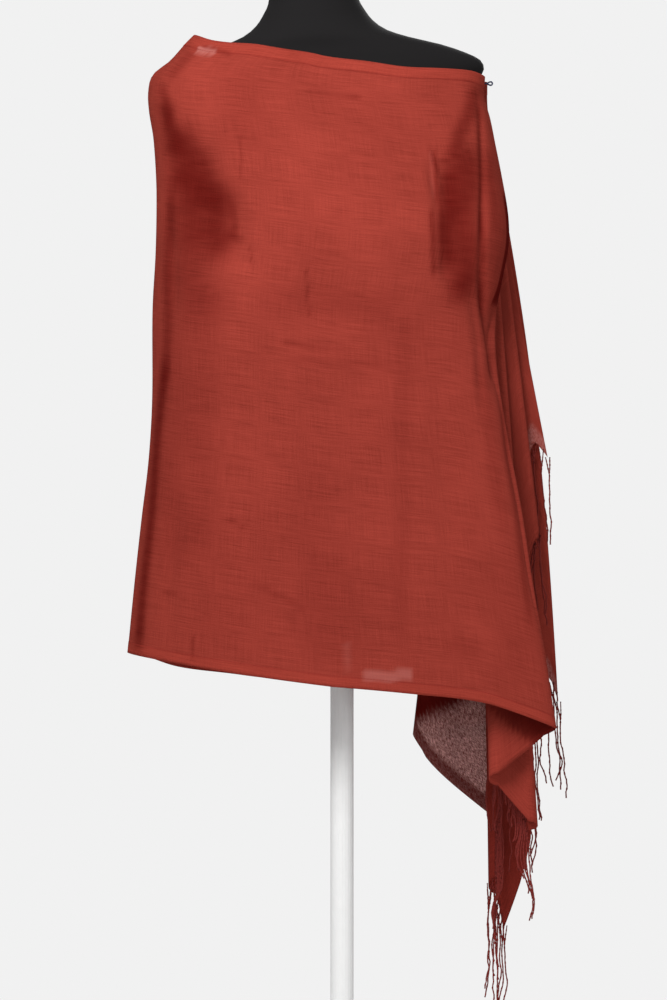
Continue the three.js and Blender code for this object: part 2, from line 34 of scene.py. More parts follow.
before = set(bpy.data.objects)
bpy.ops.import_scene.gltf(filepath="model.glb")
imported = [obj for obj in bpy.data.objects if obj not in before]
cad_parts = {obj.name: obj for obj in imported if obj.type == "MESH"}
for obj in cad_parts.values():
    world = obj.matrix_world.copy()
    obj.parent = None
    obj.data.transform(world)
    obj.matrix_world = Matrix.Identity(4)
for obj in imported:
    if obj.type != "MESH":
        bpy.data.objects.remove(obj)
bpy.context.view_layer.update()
MM = 0.001

# Cloth sizes, millimetres, and the powers that round its half turns
PIN_HEIGHT = 1322
CLOTH_DROP = 700
LEFT_FOLD_DEPTH = 5
LEFT_POWER = 2.15
FRONT_POWER = 2.6
BACK_POWER = 2.3

# Soft waves below SWELL_TOP, as their depth in front and behind, millimetres
SWELL_TOP = 1020
FRONT_SWELL = 1.0
BACK_SWELL = 3.4

# Rows and columns of the cloth, with the rows of a hem as distances from its edge
HEM_LINES = (0, 4, 8, 10.4, 11.4, 12.4, 13.6)
SEAM_ROW = 5
MIDDLE_ROWS = 119
FRONT_COLUMNS = 176
BACK_COLUMNS = 156
END_ROWS = 120
END_ROW_DROP = 5.8
ARC_STEPS = 10
STRAIGHT_STEPS = 20

# Height of the stitches above the middle of the cloth, millimetres for each metre of its thickness
STITCH_LIFT = 650

# Point values that the cloth finish reads: hem, painted shade, painted light and the sheer share
CLOTH_MASKS = ("hem", "painted_shade", "painted_light", "sheer")

# Painted shade and light, and the see-through gauze: tones from 0 to 1, and the heights and places in
# millimetres between which they change
SEAM_SHADOW_TONE = 0.2
PAINTED_LIGHT_SOFTNESS = 0.35
SLIT_SHADOW_START = 0.912
SLIT_SHADOW_TOP = 1200
SLIT_SHADOW_BOTTOM = 1062
INNER_FOLD_SHADE = 0.28
LOW_SHADE_TOP = 690
MESH_CORNER = (88, 595)
MESH_TOP = 668
MESH_BAND = 18

# Colours, in linear light
HEM_TINT = (1.1, 1.08, 1.06)
# Painted light and painted shade, mixed into the cloth's colour
PAINTED_LIGHT_COLOUR = (0.60, 0.21, 0.18)
PAINTED_SHADE_TINT = (0.33, 0.11, 0.125)
MESH_DARK = (0.2, 0.05, 0.044)
# Painted light seen through the open weave of a single layer
MESH_PAINTED_LIGHT = (0.85, 0.46, 0.42)
SHEEN_TINT = (1.0, 0.5, 0.42, 1)
THREAD_COLOUR = (0.30, 0.030, 0.022)
YARN_COLOUR = (0.2, 0.027, 0.022)
JERSEY_COLOUR = (0.0075, 0.0066, 0.007)
STAND_COLOUR = (0.86, 0.86, 0.855)
LACQUER_COLOUR = (0.003, 0.01, 0.05)
FLOOR_COLOUR = (0.82, 0.82, 0.82)

# Middle of the hanging fringe, metres from the part's middle
FAN_CENTRE = 0.19

# Pin and dress form sizes, millimetres and radians
PIN_PLACE = (164.2, -25, 1318.5)
LEAN = math.radians(2.8)
TORSO_BOTTOM = 761
TORSO_HEIGHT = 610
TORSO_ROUND = 2.05
CAP_STEPS = ((0.3, 0.5), (4.4, 0.5), (6, 1.2), (7.6, 3), (8.6, 6), (9, 10))

# Light and camera, metres: place, target, width and power of each lamp
LAMPS = {
    "key": ((-0.6, -1.7, 2.25), (-0.03, 0, 1.25), 1.1, 47),
    "fill": ((2.2, -2.8, 1.4), (0, 0, 0.9), 2.2, 17),
    "rear": ((1.0, 2.6, 2.3), (0, 0, 1.05), 1.6, 42),
}
CAMERA_PLACE = (-0.00952, -4.0, 0.855)
VIEW_HEIGHT = 1.12
SENSOR = 36


class Table:
    """Named columns, read smoothly by the first one"""

    def __init__(self, columns, rows):
        rows = sorted(rows)
        self.at = {name: np.array([row[i] for row in rows], float) for i, name in enumerate(columns)}
        self.key = self.at[columns[0]]

    def __call__(self, column, value):
        x = self.key
        y = self.at[column]
        rise = np.append(y[1:], y[-1]) - np.append(y[0], y[:-1])
        slope = rise / (np.append(x[1:], x[-1]) - np.append(x[0], x[:-1]))
        value = np.asarray(value, float)
        i = np.clip(np.searchsorted(x, value, side="right") - 1, 0, len(x) - 2)
        span = x[i + 1] - x[i]
        t = (value - x[i]) / span
        inside = ((2 * t**3 - 3 * t**2 + 1) * y[i] + (t**3 - 2 * t**2 + t) * span * slope[i]
                  + (3 * t**2 - 2 * t**3) * y[i + 1] + (t**3 - t**2) * span * slope[i + 1])
        below = y[i] + slope[i] * t * span
        above = y[i + 1] + slope[i + 1] * (t - 1) * span
        return np.where(t < 0, below, np.where(t > 1, above, inside))


def named(columns, rows):
    """Rows of numbers as rows with named columns"""
    return [dict(zip(columns, row)) for row in rows]


# Tables of the drape, as in the part's source
LEFT_FOLD = Table(["height", "x"], [
    [1377, -164], [1364, -177], [1346, -193.2], [1331, -211.8], [1312, -217], [1290, -216],
    [1262, -211.5], [1203, -208], [1135, -208.5], [1068, -212], [967, -212.5], [900, -216.5],
    [833, -224.5], [765, -232], [684, -240],
])
FRONT_EDGE = Table(["height", "x", "y"], [
    [1326, 158.8, -20], [1305, 157.6, -24], [1278, 164.5, -28], [1252, 169.5, -31], [1215, 176.5, -36],
    [1171, 183.5, -43], [1138, 184, -48], [1100, 177, -56], [1060, 169.5, -64], [1008, 169.5, -71],
    [942, 178.5, -78], [842, 197, -84], [755, 210, -88], [693, 221, -90], [605, 234, -92],
])
BACK_EDGE = Table(["height", "x", "y"], [
    [1326, 162, -10], [1312, 162.5, 6], [1296, 164, 26], [1276, 167.5, 43], [1230, 174, 53],
    [1150, 184, 67], [1000, 196, 92], [850, 207, 117], [700, 215, 141], [600, 219, 156],
])
FRONT_DEPTH = Table(["height", "y"], [
    [1375, -74], [1345, -80], [1300, -91], [1250, -108], [1205, -123], [1165, -133], [1130, -136],
    [1080, -134], [980, -128], [850, -122], [605, -118],
])
BACK_DEPTH = Table(["height", "y"], [
    [1375, 78], [1340, 86], [1300, 98], [1250, 109], [1180, 112], [1050, 114], [900, 123], [780, 137],
    [700, 148], [600, 161],
])
FRONT_TOP = Table(["share", "height"], [
    [0, 1375], [0.09, 1364.5], [0.16, 1360], [0.25, 1356.8], [0.33, 1352], [0.45, 1345.6], [0.53, 1340],
    [0.6, 1337], [0.73, 1330.8], [0.86, 1330], [0.95, 1329], [1, 1325.5],
])
BACK_TOP = Table(["share", "height"], [
    [0, 1375], [0.12, 1363], [0.3, 1352], [0.5, 1346], [0.75, 1338], [0.93, 1330], [1, 1322],
])
FRONT_HEM = Table(["share", "height"], [
    [0, 684.5], [0.12, 676], [0.32, 662], [0.5, 651.5], [0.67, 643], [0.75, 639.4], [0.83, 633],
    [0.9, 623], [0.96, 613], [1, 605.5],
])
BACK_HEM = Table(["share", "height"], [
    [0, 684.5], [0.12, 664], [0.3, 652], [0.5, 643], [0.75, 628], [1, 608],
])
FRONT = {"top": FRONT_TOP, "hem": FRONT_HEM, "edge": FRONT_EDGE, "depth": FRONT_DEPTH,
         "power": FRONT_POWER, "middle": 0.5}
BACK = {"top": BACK_TOP, "hem": BACK_HEM, "edge": BACK_EDGE, "depth": BACK_DEPTH,
        "power": BACK_POWER, "middle": 0.45}

# Sections of the dress form, heights from the base of its neck
TORSO = Table(["height", "half_width", "front", "back"], [
    [-610, 140, 84, 88], [-604, 148, 92, 96], [-585, 154, 97, 102], [-540, 152, 98, 104],
    [-480, 136, 95, 98], [-430, 121, 90, 87], [-400, 117, 88, 81], [-370, 119, 90, 78],
    [-330, 129, 100, 80], [-280, 144, 116, 86], [-230, 153, 127, 92], [-195, 154, 123, 96],
    [-160, 157, 112, 99], [-120, 161, 95, 100], [-95, 165, 86, 97], [-75, 171, 75, 86],
    [-62, 177, 69, 80], [-51.2, 181.8, 65, 75], [-42.2, 187, 62, 72], [-31.9, 183.5, 59, 69],
    [-23.3, 168.5, 58, 68], [-13, 142, 57, 68], [-3.4, 107.5, 58, 70], [5.8, 82.2, 56, 67],
    [17.8, 66, 53, 62], [33, 55.5, 51, 56], [42.2, 51, 50, 53], [60, 48.5, 48.5, 50], [82, 47, 47, 48],
])

# A row for each fold and each layer of the two ends, from the panel inwards
FOLD_COLUMNS = ("side", "top_x", "end_x", "end_height", "bow", "turn")
LAYER_COLUMNS = ("top_y", "slope", "top_drop")
FLAP_SHADOW_START = (156.8, 627.7)
FLAP_SHADOW_POINT = (209.5, 586)
FRONT_END = {
    "folds": named(FOLD_COLUMNS, [
        [1, 0, 234, 601, 0, 9], [-1, 149, 161.5, 548, 0, 15], [1, 156, 216, 495, 3, 11],
        [-1, 149, 167, 700, 0, -30], [1, 156, 219.5, 822, 2, -22], [-1, 150, 171, 868, 0, -16],
        [1, 157, 230.5, 903, -3, 0],
    ]),
    "lifts": {}, "after": {},
    "layers": named(LAYER_COLUMNS, [
        [-21, -0.079, 53], [-16.8, -0.058, 49], [-12.6, -0.04, 43],
        [-8.4, -0.024, 37], [-4.2, -0.008, 31], [0, 0.006, 26],
    ]),
    "edge": FRONT_EDGE, "to_back": 1, "corner": {"place": 1.69, "layer": None}, "top": 1325.5,
    "last_edge": Table(["fraction", "rise"], [[0, 0], [0.5, 4], [0.78, 22], [0.9, 12], [1, 0]]),
}
BACK_END = {
    "folds": named(FOLD_COLUMNS, [
        [1, 0, 219, 606, 0, 4], [-1, 151, 82.5, 584, 4, 4], [1, 158, 217.5, 466, 3, 6],
        [-1, 151, 168.5, 412, 0, -20], [1, 158, 216, 560, 3, -26], [-1, 150, 168.5, 592, 0, -8],
        [1, 158, 220, 612, 4, -8], [-1, 150, 173, 628, 0, -6], [1, 157, 243, 634, 14.5, 0],
    ]),
    "lifts": {1: -6, 3: 88}, "after": {1: 15, 2: 48},
    "layers": named(LAYER_COLUMNS, [
        [34, 0.146, 52], [29, 0.122, 48], [23, 0.094, 44], [19, 0.078, 40],
        [15, 0.063, 36], [12, 0.049, 32], [9, 0.035, 28], [5.5, 0.022, 25],
    ]),
    "edge": BACK_EDGE, "to_back": -1, "top": 1322,
    "corner": {"place": 2.14, "layer": 2, "fraction": 0.76, "height": 361},
    "last_edge": Table(["fraction", "rise"], [[0, 0], [0.5, 6], [0.86, 22], [1, -6]]),
}

# Creases: a line from start to end, its width and its depth inwards in millimetres
LINE_COLUMNS = ("x1", "z1", "x2", "z2", "width", "amount")
FRONT_CREASES = named(LINE_COLUMNS, [
    [-176, 1262, -128, 1130, 30, 8], [-118, 1190, -112, 1105, 14, 5], [112, 1230, 118, 1090, 14, 6],
    [128, 1180, 140, 1110, 9, 3.5], [98, 1228, 101, 1168, 5, 2.2], [-100, 1132, -99, 1104, 4, 1.5],
    [-38, 1112, -35, 1058, 4, 1.4], [-66, 1030, 30, 1014, 4, 1.3], [150, 1105, 172, 960, 12, 5],
    [168, 1075, 196, 880, 9, 4], [-60, 1070, 40, 1040, 16, 1.6], [186, 980, 214, 720, 14, 5],
    [60, 900, 150, 700, 40, 3], [150.5, 1300, 153.5, 1120, 4, 2.4], [152.5, 1190, 157, 1040, 4, 3],
    [155, 1110, 168, 985, 4, 3], [138, 1090, 156, 950, 6, 2.4], [104, 1236, 103, 1180, 3, -1.4],
    [110, 1122, 118, 1074, 3, 2], [-60, 1318, 6, 1303, 4, 1.4], [-20, 1326, 60, 1312, 4, 1.2],
    [-190, 1180, -186, 1040, 6, 2], [-96, 1060, -90, 860, 22, 2.4], [10, 1010, 24, 760, 26, 2.2],
    [100, 980, 120, 760, 18, 2.6], [-180, 860, -192, 700, 10, 2.2], [-60, 820, -64, 690, 14, 2],
])
BACK_CREASES = named(LINE_COLUMNS, [
    [-150, 1250, -112, 1100, 24, 6], [60, 1290, 110, 1130, 20, 5], [120, 1240, 150, 1020, 13, 6],
    [-40, 1150, -20, 960, 26, 4], [150, 1080, 188, 820, 12, 5], [20, 1000, 90, 760, 34, 4],
    [-180, 1000, -200, 800, 18, 4], [150, 1300, 40, 1150, 10, -3.5], [152, 1290, 92, 1040, 9, -4],
    [156, 1270, 134, 960, 8, -4], [-110, 1190, -60, 1000, 16, -4], [-40, 1180, -52, 960, 12, 4],
    [60, 1080, 120, 820, 16, -5], [-120, 940, -140, 700, 18, -5], [-20, 900, -10, 690, 20, -4.5],
    [110, 860, 140, 680, 14, 4], [-70, 1090, 60, 1076, 12, 2.2], [-30, 1310, 60, 1292, 7, 2],
    [-190, 1200, -194, 1060, 9, 2.5], [30, 860, 44, 690, 13, 4],
])

# Soft strokes of painted shade, from 0 to 1: hollows below the shoulders, shadows along creases and folds,
# and darker lower down
FRONT_PAINTED_SHADE = named(LINE_COLUMNS, [
    [-197, 1294, -182, 1235, 10, 0.6], [-184, 1262, -131, 1176, 18, 0.68],
    [-178, 1226, -162, 1130, 19, 0.46], [-188, 1262, -178, 1196, 12, 0.36],
    [-182, 1226, -158, 1170, 17, 0.5], [-148, 1196, -134, 1120, 17, 0.66],
    [-124, 1184, -119, 1140, 6, 0.4], [-131, 1147, -110, 1138, 5, 0.3],
    [-170, 1170, -156, 1050, 27, 0.44], [-190, 1200, -194.5, 985, 6, 0.5],
    [-195.5, 1005, -227, 690, 6, 0.72], [150, 1310, 118, 1228, 9, 0.55], [95, 1238, 106, 1212, 1.8, 0.42],
    [100, 1221, 140, 1237, 2.6, 0.34], [119, 1222, 114, 1104, 13, 0.76], [137, 1240, 134, 1078, 16, 0.7],
    [101, 1238, 104, 1180, 2, 0.45], [97, 1170, 99, 1098, 3, 0.5], [125, 1098, 127, 1070, 14, 0.5],
    [150.5, 1292, 153, 1142, 3.4, 0.45], [152.3, 1170, 156.5, 1058, 3.2, 0.45],
    [155, 1090, 167, 990, 3, 0.5], [160, 1240, 168, 1150, 5, 0.2], [108, 1200, 109, 1112, 2, 0.3],
    [-199, 1314, -190, 1266, 6, 0.5], [-167, 1353, -190, 1322, 6, 0.3],
    [-120, 1325, -106, 1235, 26, 0.12], [-184, 1040, -190, 780, 22, 0.18],
    [-163, 706, -163, 680, 1.8, 0.35], [-198, 755, -172, 746, 2, 0.3], [-132, 838, -107, 825, 2.2, 0.3],
    [-97, 765, -41, 737, 3, 0.22], [-150, 840, -120, 680, 55, 0.1], [-64, 1026, 8, 1013, 1.8, 0.32],
    [-60, 1008, 60, 1000, 6, 0.12], [-111, 1256, -111, 1205, 2, 0.25], [165, 1230, 172, 1060, 15, 0.3],
    [-60, 760, 60, 700, 150, 0.07], [180, 800, 200, 650, 30, 0.1], [-38.5, 1106, -36.5, 1052, 1.4, 0.3],
    [-101, 1132, -98, 1106, 1.6, 0.35], [-38, 1304, 20, 1296, 2, 0.38],
    [-154, 1357, -122, 1346, 2.4, 0.45], [-90, 1070, 60, 1068, 20, 0.14], [66, 1050, 64, 700, 10, 0.12],
    [150, 1000, 176, 820, 9, 0.2], [-150, 1050, -158, 800, 16, 0.14], [-30, 900, -20, 690, 26, 0.1],
    [176, 960, 206, 720, 4, 0.25], [110, 700, 150, 690, 14, 0.16], [-215, 700, -222, 690, 8, 0.1],
])
BACK_PAINTED_SHADE = named(LINE_COLUMNS, [
    [-180, 1260, -130, 1180, 14, 0.5], [-140, 1190, -122, 1100, 14, 0.5],
    [-150, 1120, -140, 1030, 22, 0.25], [140, 1290, 108, 1220, 10, 0.4], [112, 1215, 106, 1100, 14, 0.5],
    [134, 1210, 150, 1040, 9, 0.35], [-60, 1080, 50, 1070, 18, 0.14], [30, 1010, 60, 760, 16, 0.15],
    [-100, 980, -120, 740, 20, 0.14], [-8, 1200, -4, 1120, 2, 0.3], [70, 1300, 20, 1290, 3, 0.3],
    [-215, 664, -110, 650, 12, 0.5],
])

# Strokes of painted light: light shining through a single layer at the peak and the low hem, and thin lit
# streaks along creases
FRONT_PAINTED_LIGHT = named(LINE_COLUMNS, [
    [-160, 1354.5, -139, 1350.5, 3.2, 0.7], [-157, 1348, -149, 1346.5, 3, 0.66],
    [24, 664, 76, 664, 6.6, 0.4], [4.5, 702, 4.5, 668, 1.6, 0.12], [97, 1236, 99, 1186, 2.6, 0.05],
])
BACK_PAINTED_LIGHT = named(LINE_COLUMNS, [
    [-30, 664, 30, 658, 6, 0.15],
])


def mix(a, b, t):
    return a + (b - a) * t


def smooth(value):
    t = np.clip(value, 0, 1)
    return t * t * (3 - 2 * t)


def half_turn(along, drop, shape):
    """Point of the half turn in front or behind, drop 0 at the top edge and 1 at the hem"""
    turn = np.cos(along * math.pi)
    share = 0.5 * (1 - np.sign(turn) * np.abs(turn) ** 0.9)
    z = mix(shape["top"]("height", share), shape["hem"]("height", share), drop)
    left = LEFT_FOLD("x", z)
    right = shape["edge"]("x", z)
    middle = mix(left, right, shape["middle"])
    far = shape["depth"]("y", z)
    on_left = along < 0.5
    power = np.where(on_left, 2 / LEFT_POWER, 2 / shape["power"])
    side = np.where(on_left, left, right)
    side_y = np.where(on_left, LEFT_FOLD_DEPTH, shape["edge"]("y", z))
    x = middle + (side - middle) * np.abs(turn) ** power
    y = side_y + (far - side_y) * np.abs(np.sin(along * math.pi)) ** power
    return np.stack([x, y, z], -1)


def beside_line(points, row):
    """Share along a row's line at each point, the distance from that line, and its length"""
    run = np.array([row["x2"] - row["x1"], row["z2"] - row["z1"]], float)
    length = np.hypot(*run)
    rel = np.stack([points[..., 0] - row["x1"], points[..., 2] - row["z1"]], -1)
    off = (rel[..., 0] * run[1] - rel[..., 1] * run[0]) / length
    return rel @ run / length**2, off, length


def relief(points, creases):
    """Depth of the hand-placed creases at each point, in millimetres inwards"""
    total = np.zeros(points.shape[:-1])
    for row in creases:
        t, off, _ = beside_line(points, row)
        off = off + 2.5 * np.sin(t * 5 + row["x1"])
        taper = smooth((t + 0.15) / 0.45) * smooth((1.15 - t) / 0.45)
        total += row["amount"] * taper * np.exp(-(off / row["width"]) ** 2)
    return total


def strokes(points, rows, soft=1.0):
    """Uneven strokes of tone at each point, from 0 to 1, crisper where soft is small"""
    total = np.zeros(points.shape[:-1])
    for k, row in enumerate(rows):
        t, off, length = beside_line(points, row)
        off = off + 0.1 * row["width"] * (np.sin(t * 6 + k) + np.sin(t * 13 + 2 * k))
        ends = (row["width"] / length * 0.8 + 0.04) * soft
        taper = smooth(t / (2 * ends) + 0.5) * smooth((1 - t) / (2 * ends) + 0.5)
        streak = 1 + 0.07 * np.sin(points[..., 2] / 2.3 + 3 * np.sin(points[..., 0] / 31 + k))
        across = np.exp(-np.abs(off / row["width"]) ** (2.4 / soft))
        total = total + (1 - total) * np.clip(row["amount"] * taper * streak, 0, 1) * across
    return total


def grid_normals(points):
    """Unit normals of a grid of points"""
    normal = np.cross(np.gradient(points, axis=0), np.gradient(points, axis=1))
    return normal / np.maximum(np.linalg.norm(normal, axis=-1, keepdims=True), 1e-9)


def body_points():
    """Grid of the stretch round the form, from the front edge by the left fold to the back edge"""
    across = np.concatenate([np.linspace(1, 0, FRONT_COLUMNS), np.linspace(0, 1, BACK_COLUMNS)[1:]])
    hem = np.array(HEM_LINES) / CLOTH_DROP
    even = np.linspace(hem[-1], 1 - hem[-1], MIDDLE_ROWS)[1:-1]
    drops = np.concatenate([hem, even, 1 - hem[::-1]])
    along, drop = np.meshgrid(across, drops, indexing="ij")
    ahead = (np.arange(len(across)) < FRONT_COLUMNS)[:, None]
    points = np.where(ahead[..., None], half_turn(along, drop, FRONT), half_turn(along, drop, BACK))
    x, z = points[..., 0], points[..., 2]
    normals = grid_normals(points)
    facing = np.abs(normals[..., 1])
    dent = np.where(ahead, relief(points, FRONT_CREASES), relief(points, BACK_CREASES))
    # Strokes of painted shade and painted light, faded where the surface turns away from the front
    painted_shade = np.where(ahead, strokes(points, FRONT_PAINTED_SHADE), strokes(points, BACK_PAINTED_SHADE))
    painted_light = np.where(ahead, strokes(points, FRONT_PAINTED_LIGHT, PAINTED_LIGHT_SOFTNESS), strokes(points, BACK_PAINTED_LIGHT))
    # Painted shadow in the slit between the front panel's edge and the layers behind it
    slit_shadow = smooth((along - SLIT_SHADOW_START) / 0.02) * smooth((SLIT_SHADOW_TOP - z) / 15) * smooth((z - SLIT_SHADOW_BOTTOM) / 12)
    painted_shade = np.maximum(painted_shade * smooth((facing - 0.01) / 0.14), np.where(ahead, slit_shadow, 0))
    # Painted shadow line along each hem's stitch line
    seam_shadows = np.zeros(len(drops))
    seam_shadows[[SEAM_ROW - 1, SEAM_ROW, -SEAM_ROW - 1, -SEAM_ROW]] = SEAM_SHADOW_TONE
    swell = (np.where(ahead, FRONT_SWELL, BACK_SWELL) * smooth((SWELL_TOP - z) / 420)
             * np.sin(x / 21 + 1.4 * np.sin(z / 170)) * smooth(along / 0.2) * smooth((1 - along) / 0.2))
    fade = smooth((1 - along) / 0.03) * smooth(drop / 0.03) * smooth((1 - drop) / 0.02)
    tones = {"painted_shade": np.maximum(painted_shade, seam_shadows), "painted_light": painted_light * smooth((facing - 0.12) / 0.35)}
    return points - normals * (dent * fade + swell)[..., None], drops, tones


def stations(end):
    """Plan of a gathered end: fold arcs and straight layers"""
    rows = []
    folds = len(end["folds"])
    for k in range(folds - 1):
        first, steps = (0, ARC_STEPS // 2) if k == 0 else (-90, ARC_STEPS)
        rows += [{"fold": k, "angle": mix(first, 90, i / steps)} for i in range(steps + 1)]
        rows += [{"layer": k, "fraction": i / STRAIGHT_STEPS} for i in range(1, STRAIGHT_STEPS)]
    rows.append({"layer": folds - 2, "fraction": 1})
    corner = end["corner"]
    if corner["layer"] is not None:
        at = next(i for i, s in enumerate(rows)
                  if s.get("layer") == corner["layer"] and s["fraction"] > corner["fraction"])
        rows.insert(at, {"layer": corner["layer"], "fraction": corner["fraction"]})
    return rows


def fold_x(end, k, z):
    row = end["folds"][k]
    if k == 0:
        return end["edge"]("x", z)
    t = (PIN_HEIGHT - z) / (PIN_HEIGHT - row["end_height"])
    return mix(row["top_x"], row["end_x"], t) + row["bow"] * np.sin(math.pi * np.clip(t, 0, 1))


def layer_y(end, j, z):
    if j < 0:
        return end["edge"]("y", z)
    row = end["layers"][j]
    return row["top_y"] + row["slope"] * (PIN_HEIGHT - z)


def fold_radius(end, k, z):
    if k > len(end["layers"]) - 1:
        return 0 * z
    return np.abs(layer_y(end, k, z) - layer_y(end, k - 1, z)) / (2 if k else 1)


def plan_point(end, station, z):
    """Points of a station of a gathered end at heights z"""
    if "fold" in station:
        k = station["fold"]
        r = fold_radius(end, k, z)
        a = math.radians(station["angle"])
        x = fold_x(end, k, z) - end["folds"][k]["side"] * r * (1 - math.cos(a))
        base = layer_y(end, -1, z) if k == 0 else (layer_y(end, k, z) + layer_y(end, k - 1, z)) / 2
        return np.stack([x, base + end["to_back"] * r * math.sin(a), z], -1)
    j = station["layer"]
    start, stop = [fold_x(end, k, z) - end["folds"][k]["side"] * fold_radius(end, k, z) for k in (j, j + 1)]
    return np.stack([mix(start, stop, station["fraction"]), layer_y(end, j, z), z], -1)


def end_height(end, station):
    """Height of the cut edge, which slants across each fold by its turn"""
    if "fold" in station:
        k = station["fold"]
        fold = end["folds"][k]
        if k == 0:
            return fold["end_height"] + fold["turn"] / 2 * (1 - 2 * station["angle"] / 90)
        angle = math.radians(station["angle"])
        slant = end["after"].get(k, 0) * (1 - math.cos(max(angle, 0)))
        return fold["end_height"] - fold["turn"] / 2 * math.sin(angle) - slant
    j = station["layer"]
    f = station["fraction"]
    a = end["folds"][j]["end_height"] - end["folds"][j]["turn"] / 2 - end["after"].get(j, 0)
    b = end["folds"][j + 1]["end_height"] + end["folds"][j + 1]["turn"] / 2
    corner = end["corner"]
    if j == len(end["folds"]) - 2:
        return mix(a, b, f) + float(end["last_edge"]("rise", f))
    if corner["layer"] != j:
        return mix(a, b, f) + end["lifts"].get(j, 0) * math.sin(math.pi * f**0.5)
    if f < corner["fraction"]:
        return mix(a, corner["height"], f / corner["fraction"])
    return mix(corner["height"], b, (f - corner["fraction"]) / (1 - corner["fraction"]))


def is_fringed(end, station):
    if "fold" in station:
        place = station["fold"] - 0.5 + (station["angle"] + 90) / 180 * 0.2
    else:
        place = station["layer"] + station["fraction"] * 0.5 - 0.2
    return place >= end["corner"]["place"] - 1e-6


def end_points(end):
    """Grid of a gathered end, drawn together at the pin"""
    listed = stations(end)
    columns = []
    tones = {"painted_shade": [], "sheer": []}
    for station in listed:
        bottom = end_height(end, station)
        z = mix(end["top"], bottom, np.linspace(0, 1, END_ROWS) ** 1.1)
        fallen = end["top"] - z
        j = station["layer"] if "layer" in station else station["fold"]
        depth = station["angle"] / 90 if station.get("fold") == 0 else 1
        at_pin = np.stack([end["edge"]("x", z) - 0.5 * j * depth,
                           end["edge"]("y", z) + end["to_back"] * (0.8 * j + 0.8) * depth, z], -1)
        drop = end["layers"][min(j, len(end["layers"]) - 1)]["top_drop"]
        gather = mix(at_pin, plan_point(end, station, z), smooth(fallen / (drop + 22))[:, None])
        ripple = fallen / CLOTH_DROP
        wave = ripple * (2.2 * np.sin(gather[:, 0] / 9 + z / 120) + 2 * np.sin(z / 47 + gather[:, 0] / 25))
        gather[:, 1] += depth * wave * np.clip(ripple, 0, 1)
        columns.append(gather)
        # Painted shade of the folds, none at the pin
        tones["painted_shade"].append(fold_shade(end, station, gather) * smooth(fallen / 60))
        tones["sheer"].append(single_layer(end, station, gather, bottom))
    return np.array(columns), listed, {key: np.array(tone) for key, tone in tones.items()}


def fold_shade(end, station, points):
    """Painted shade: deeper at the inner folds, in the slit, in the cast shadow below the front end's hem and
    low down where a fold lies in shadow, lighter at the outer ones
    """
    tones = [INNER_FOLD_SHADE if fold["side"] < 0 else 0.0 for fold in end["folds"]]
    x, z = points[:, 0], points[:, 2]
    # Painted shade low down, where the folds lie in shadow
    low = smooth((LOW_SHADE_TOP - z) / 40)
    k = station["layer"] if "layer" in station else station["fold"]
    if "layer" in station:
        plain = mix(tones[k], tones[k + 1], station["fraction"])
    else:
        # Painted shadow in the slit behind the front panel's edge
        slit_shadow = smooth((SLIT_SHADOW_TOP - z) / 20) * smooth((z - SLIT_SHADOW_BOTTOM + 7) / 20)
        plain = tones[k] if k else 0.45 + 0.5 * slit_shadow
    if end["to_back"] < 0:
        return mix(plain, 0.95 if k < 2 else 0.48, low)
    # Painted cast shadow of the front panel's hem on the flap below it
    share = (x - FLAP_SHADOW_START[0]) / (FLAP_SHADOW_POINT[0] - FLAP_SHADOW_START[0])
    over = z - mix(FLAP_SHADOW_START[1], FLAP_SHADOW_POINT[1], share)
    flap_shadow = mix(0.04, 0.6 + 0.25 * smooth(over / 25), smooth(over / 2.5 + 0.5))
    outer = k == 0 or station.get("fold") == 1
    return mix(plain, flap_shadow if outer else 0.05, low)


def single_layer(end, station, points, bottom):
    """Share where one layer shows alone against the light, which opens its weave and brings in the painted
    light seen through it
    """
    x, z = points[:, 0], points[:, 2]
    layer = station.get("layer", -1)
    if end["to_back"] < 0 and (layer in (0, 1) or station.get("fold") == 1):
        corner = smooth((z - MESH_CORNER[1] - 0.42 * (x - MESH_CORNER[0])) / 9)
        edge = mix(0.24, 1, smooth((z - bottom - MESH_BAND) / 3))
        return edge * smooth((MESH_TOP - z) / 12) * (1 - corner)
    if layer == len(end["folds"]) - 2 and station["fraction"] > 0.6:
        return 0.35 * smooth((bottom + 26 - z) / 12)
    return 0 * z


def show(name, data):
    """Puts new data into the scene as an object"""
    obj = bpy.data.objects.new(name, data)
    bpy.context.scene.collection.objects.link(obj)
    return obj


def new_mesh(name, points, faces, edges=()):
    mesh = bpy.data.meshes.new(name)
    mesh.from_pydata([tuple(p) for p in np.asarray(points) * MM], list(edges), faces)
    mesh.update()
    return show(name, mesh)


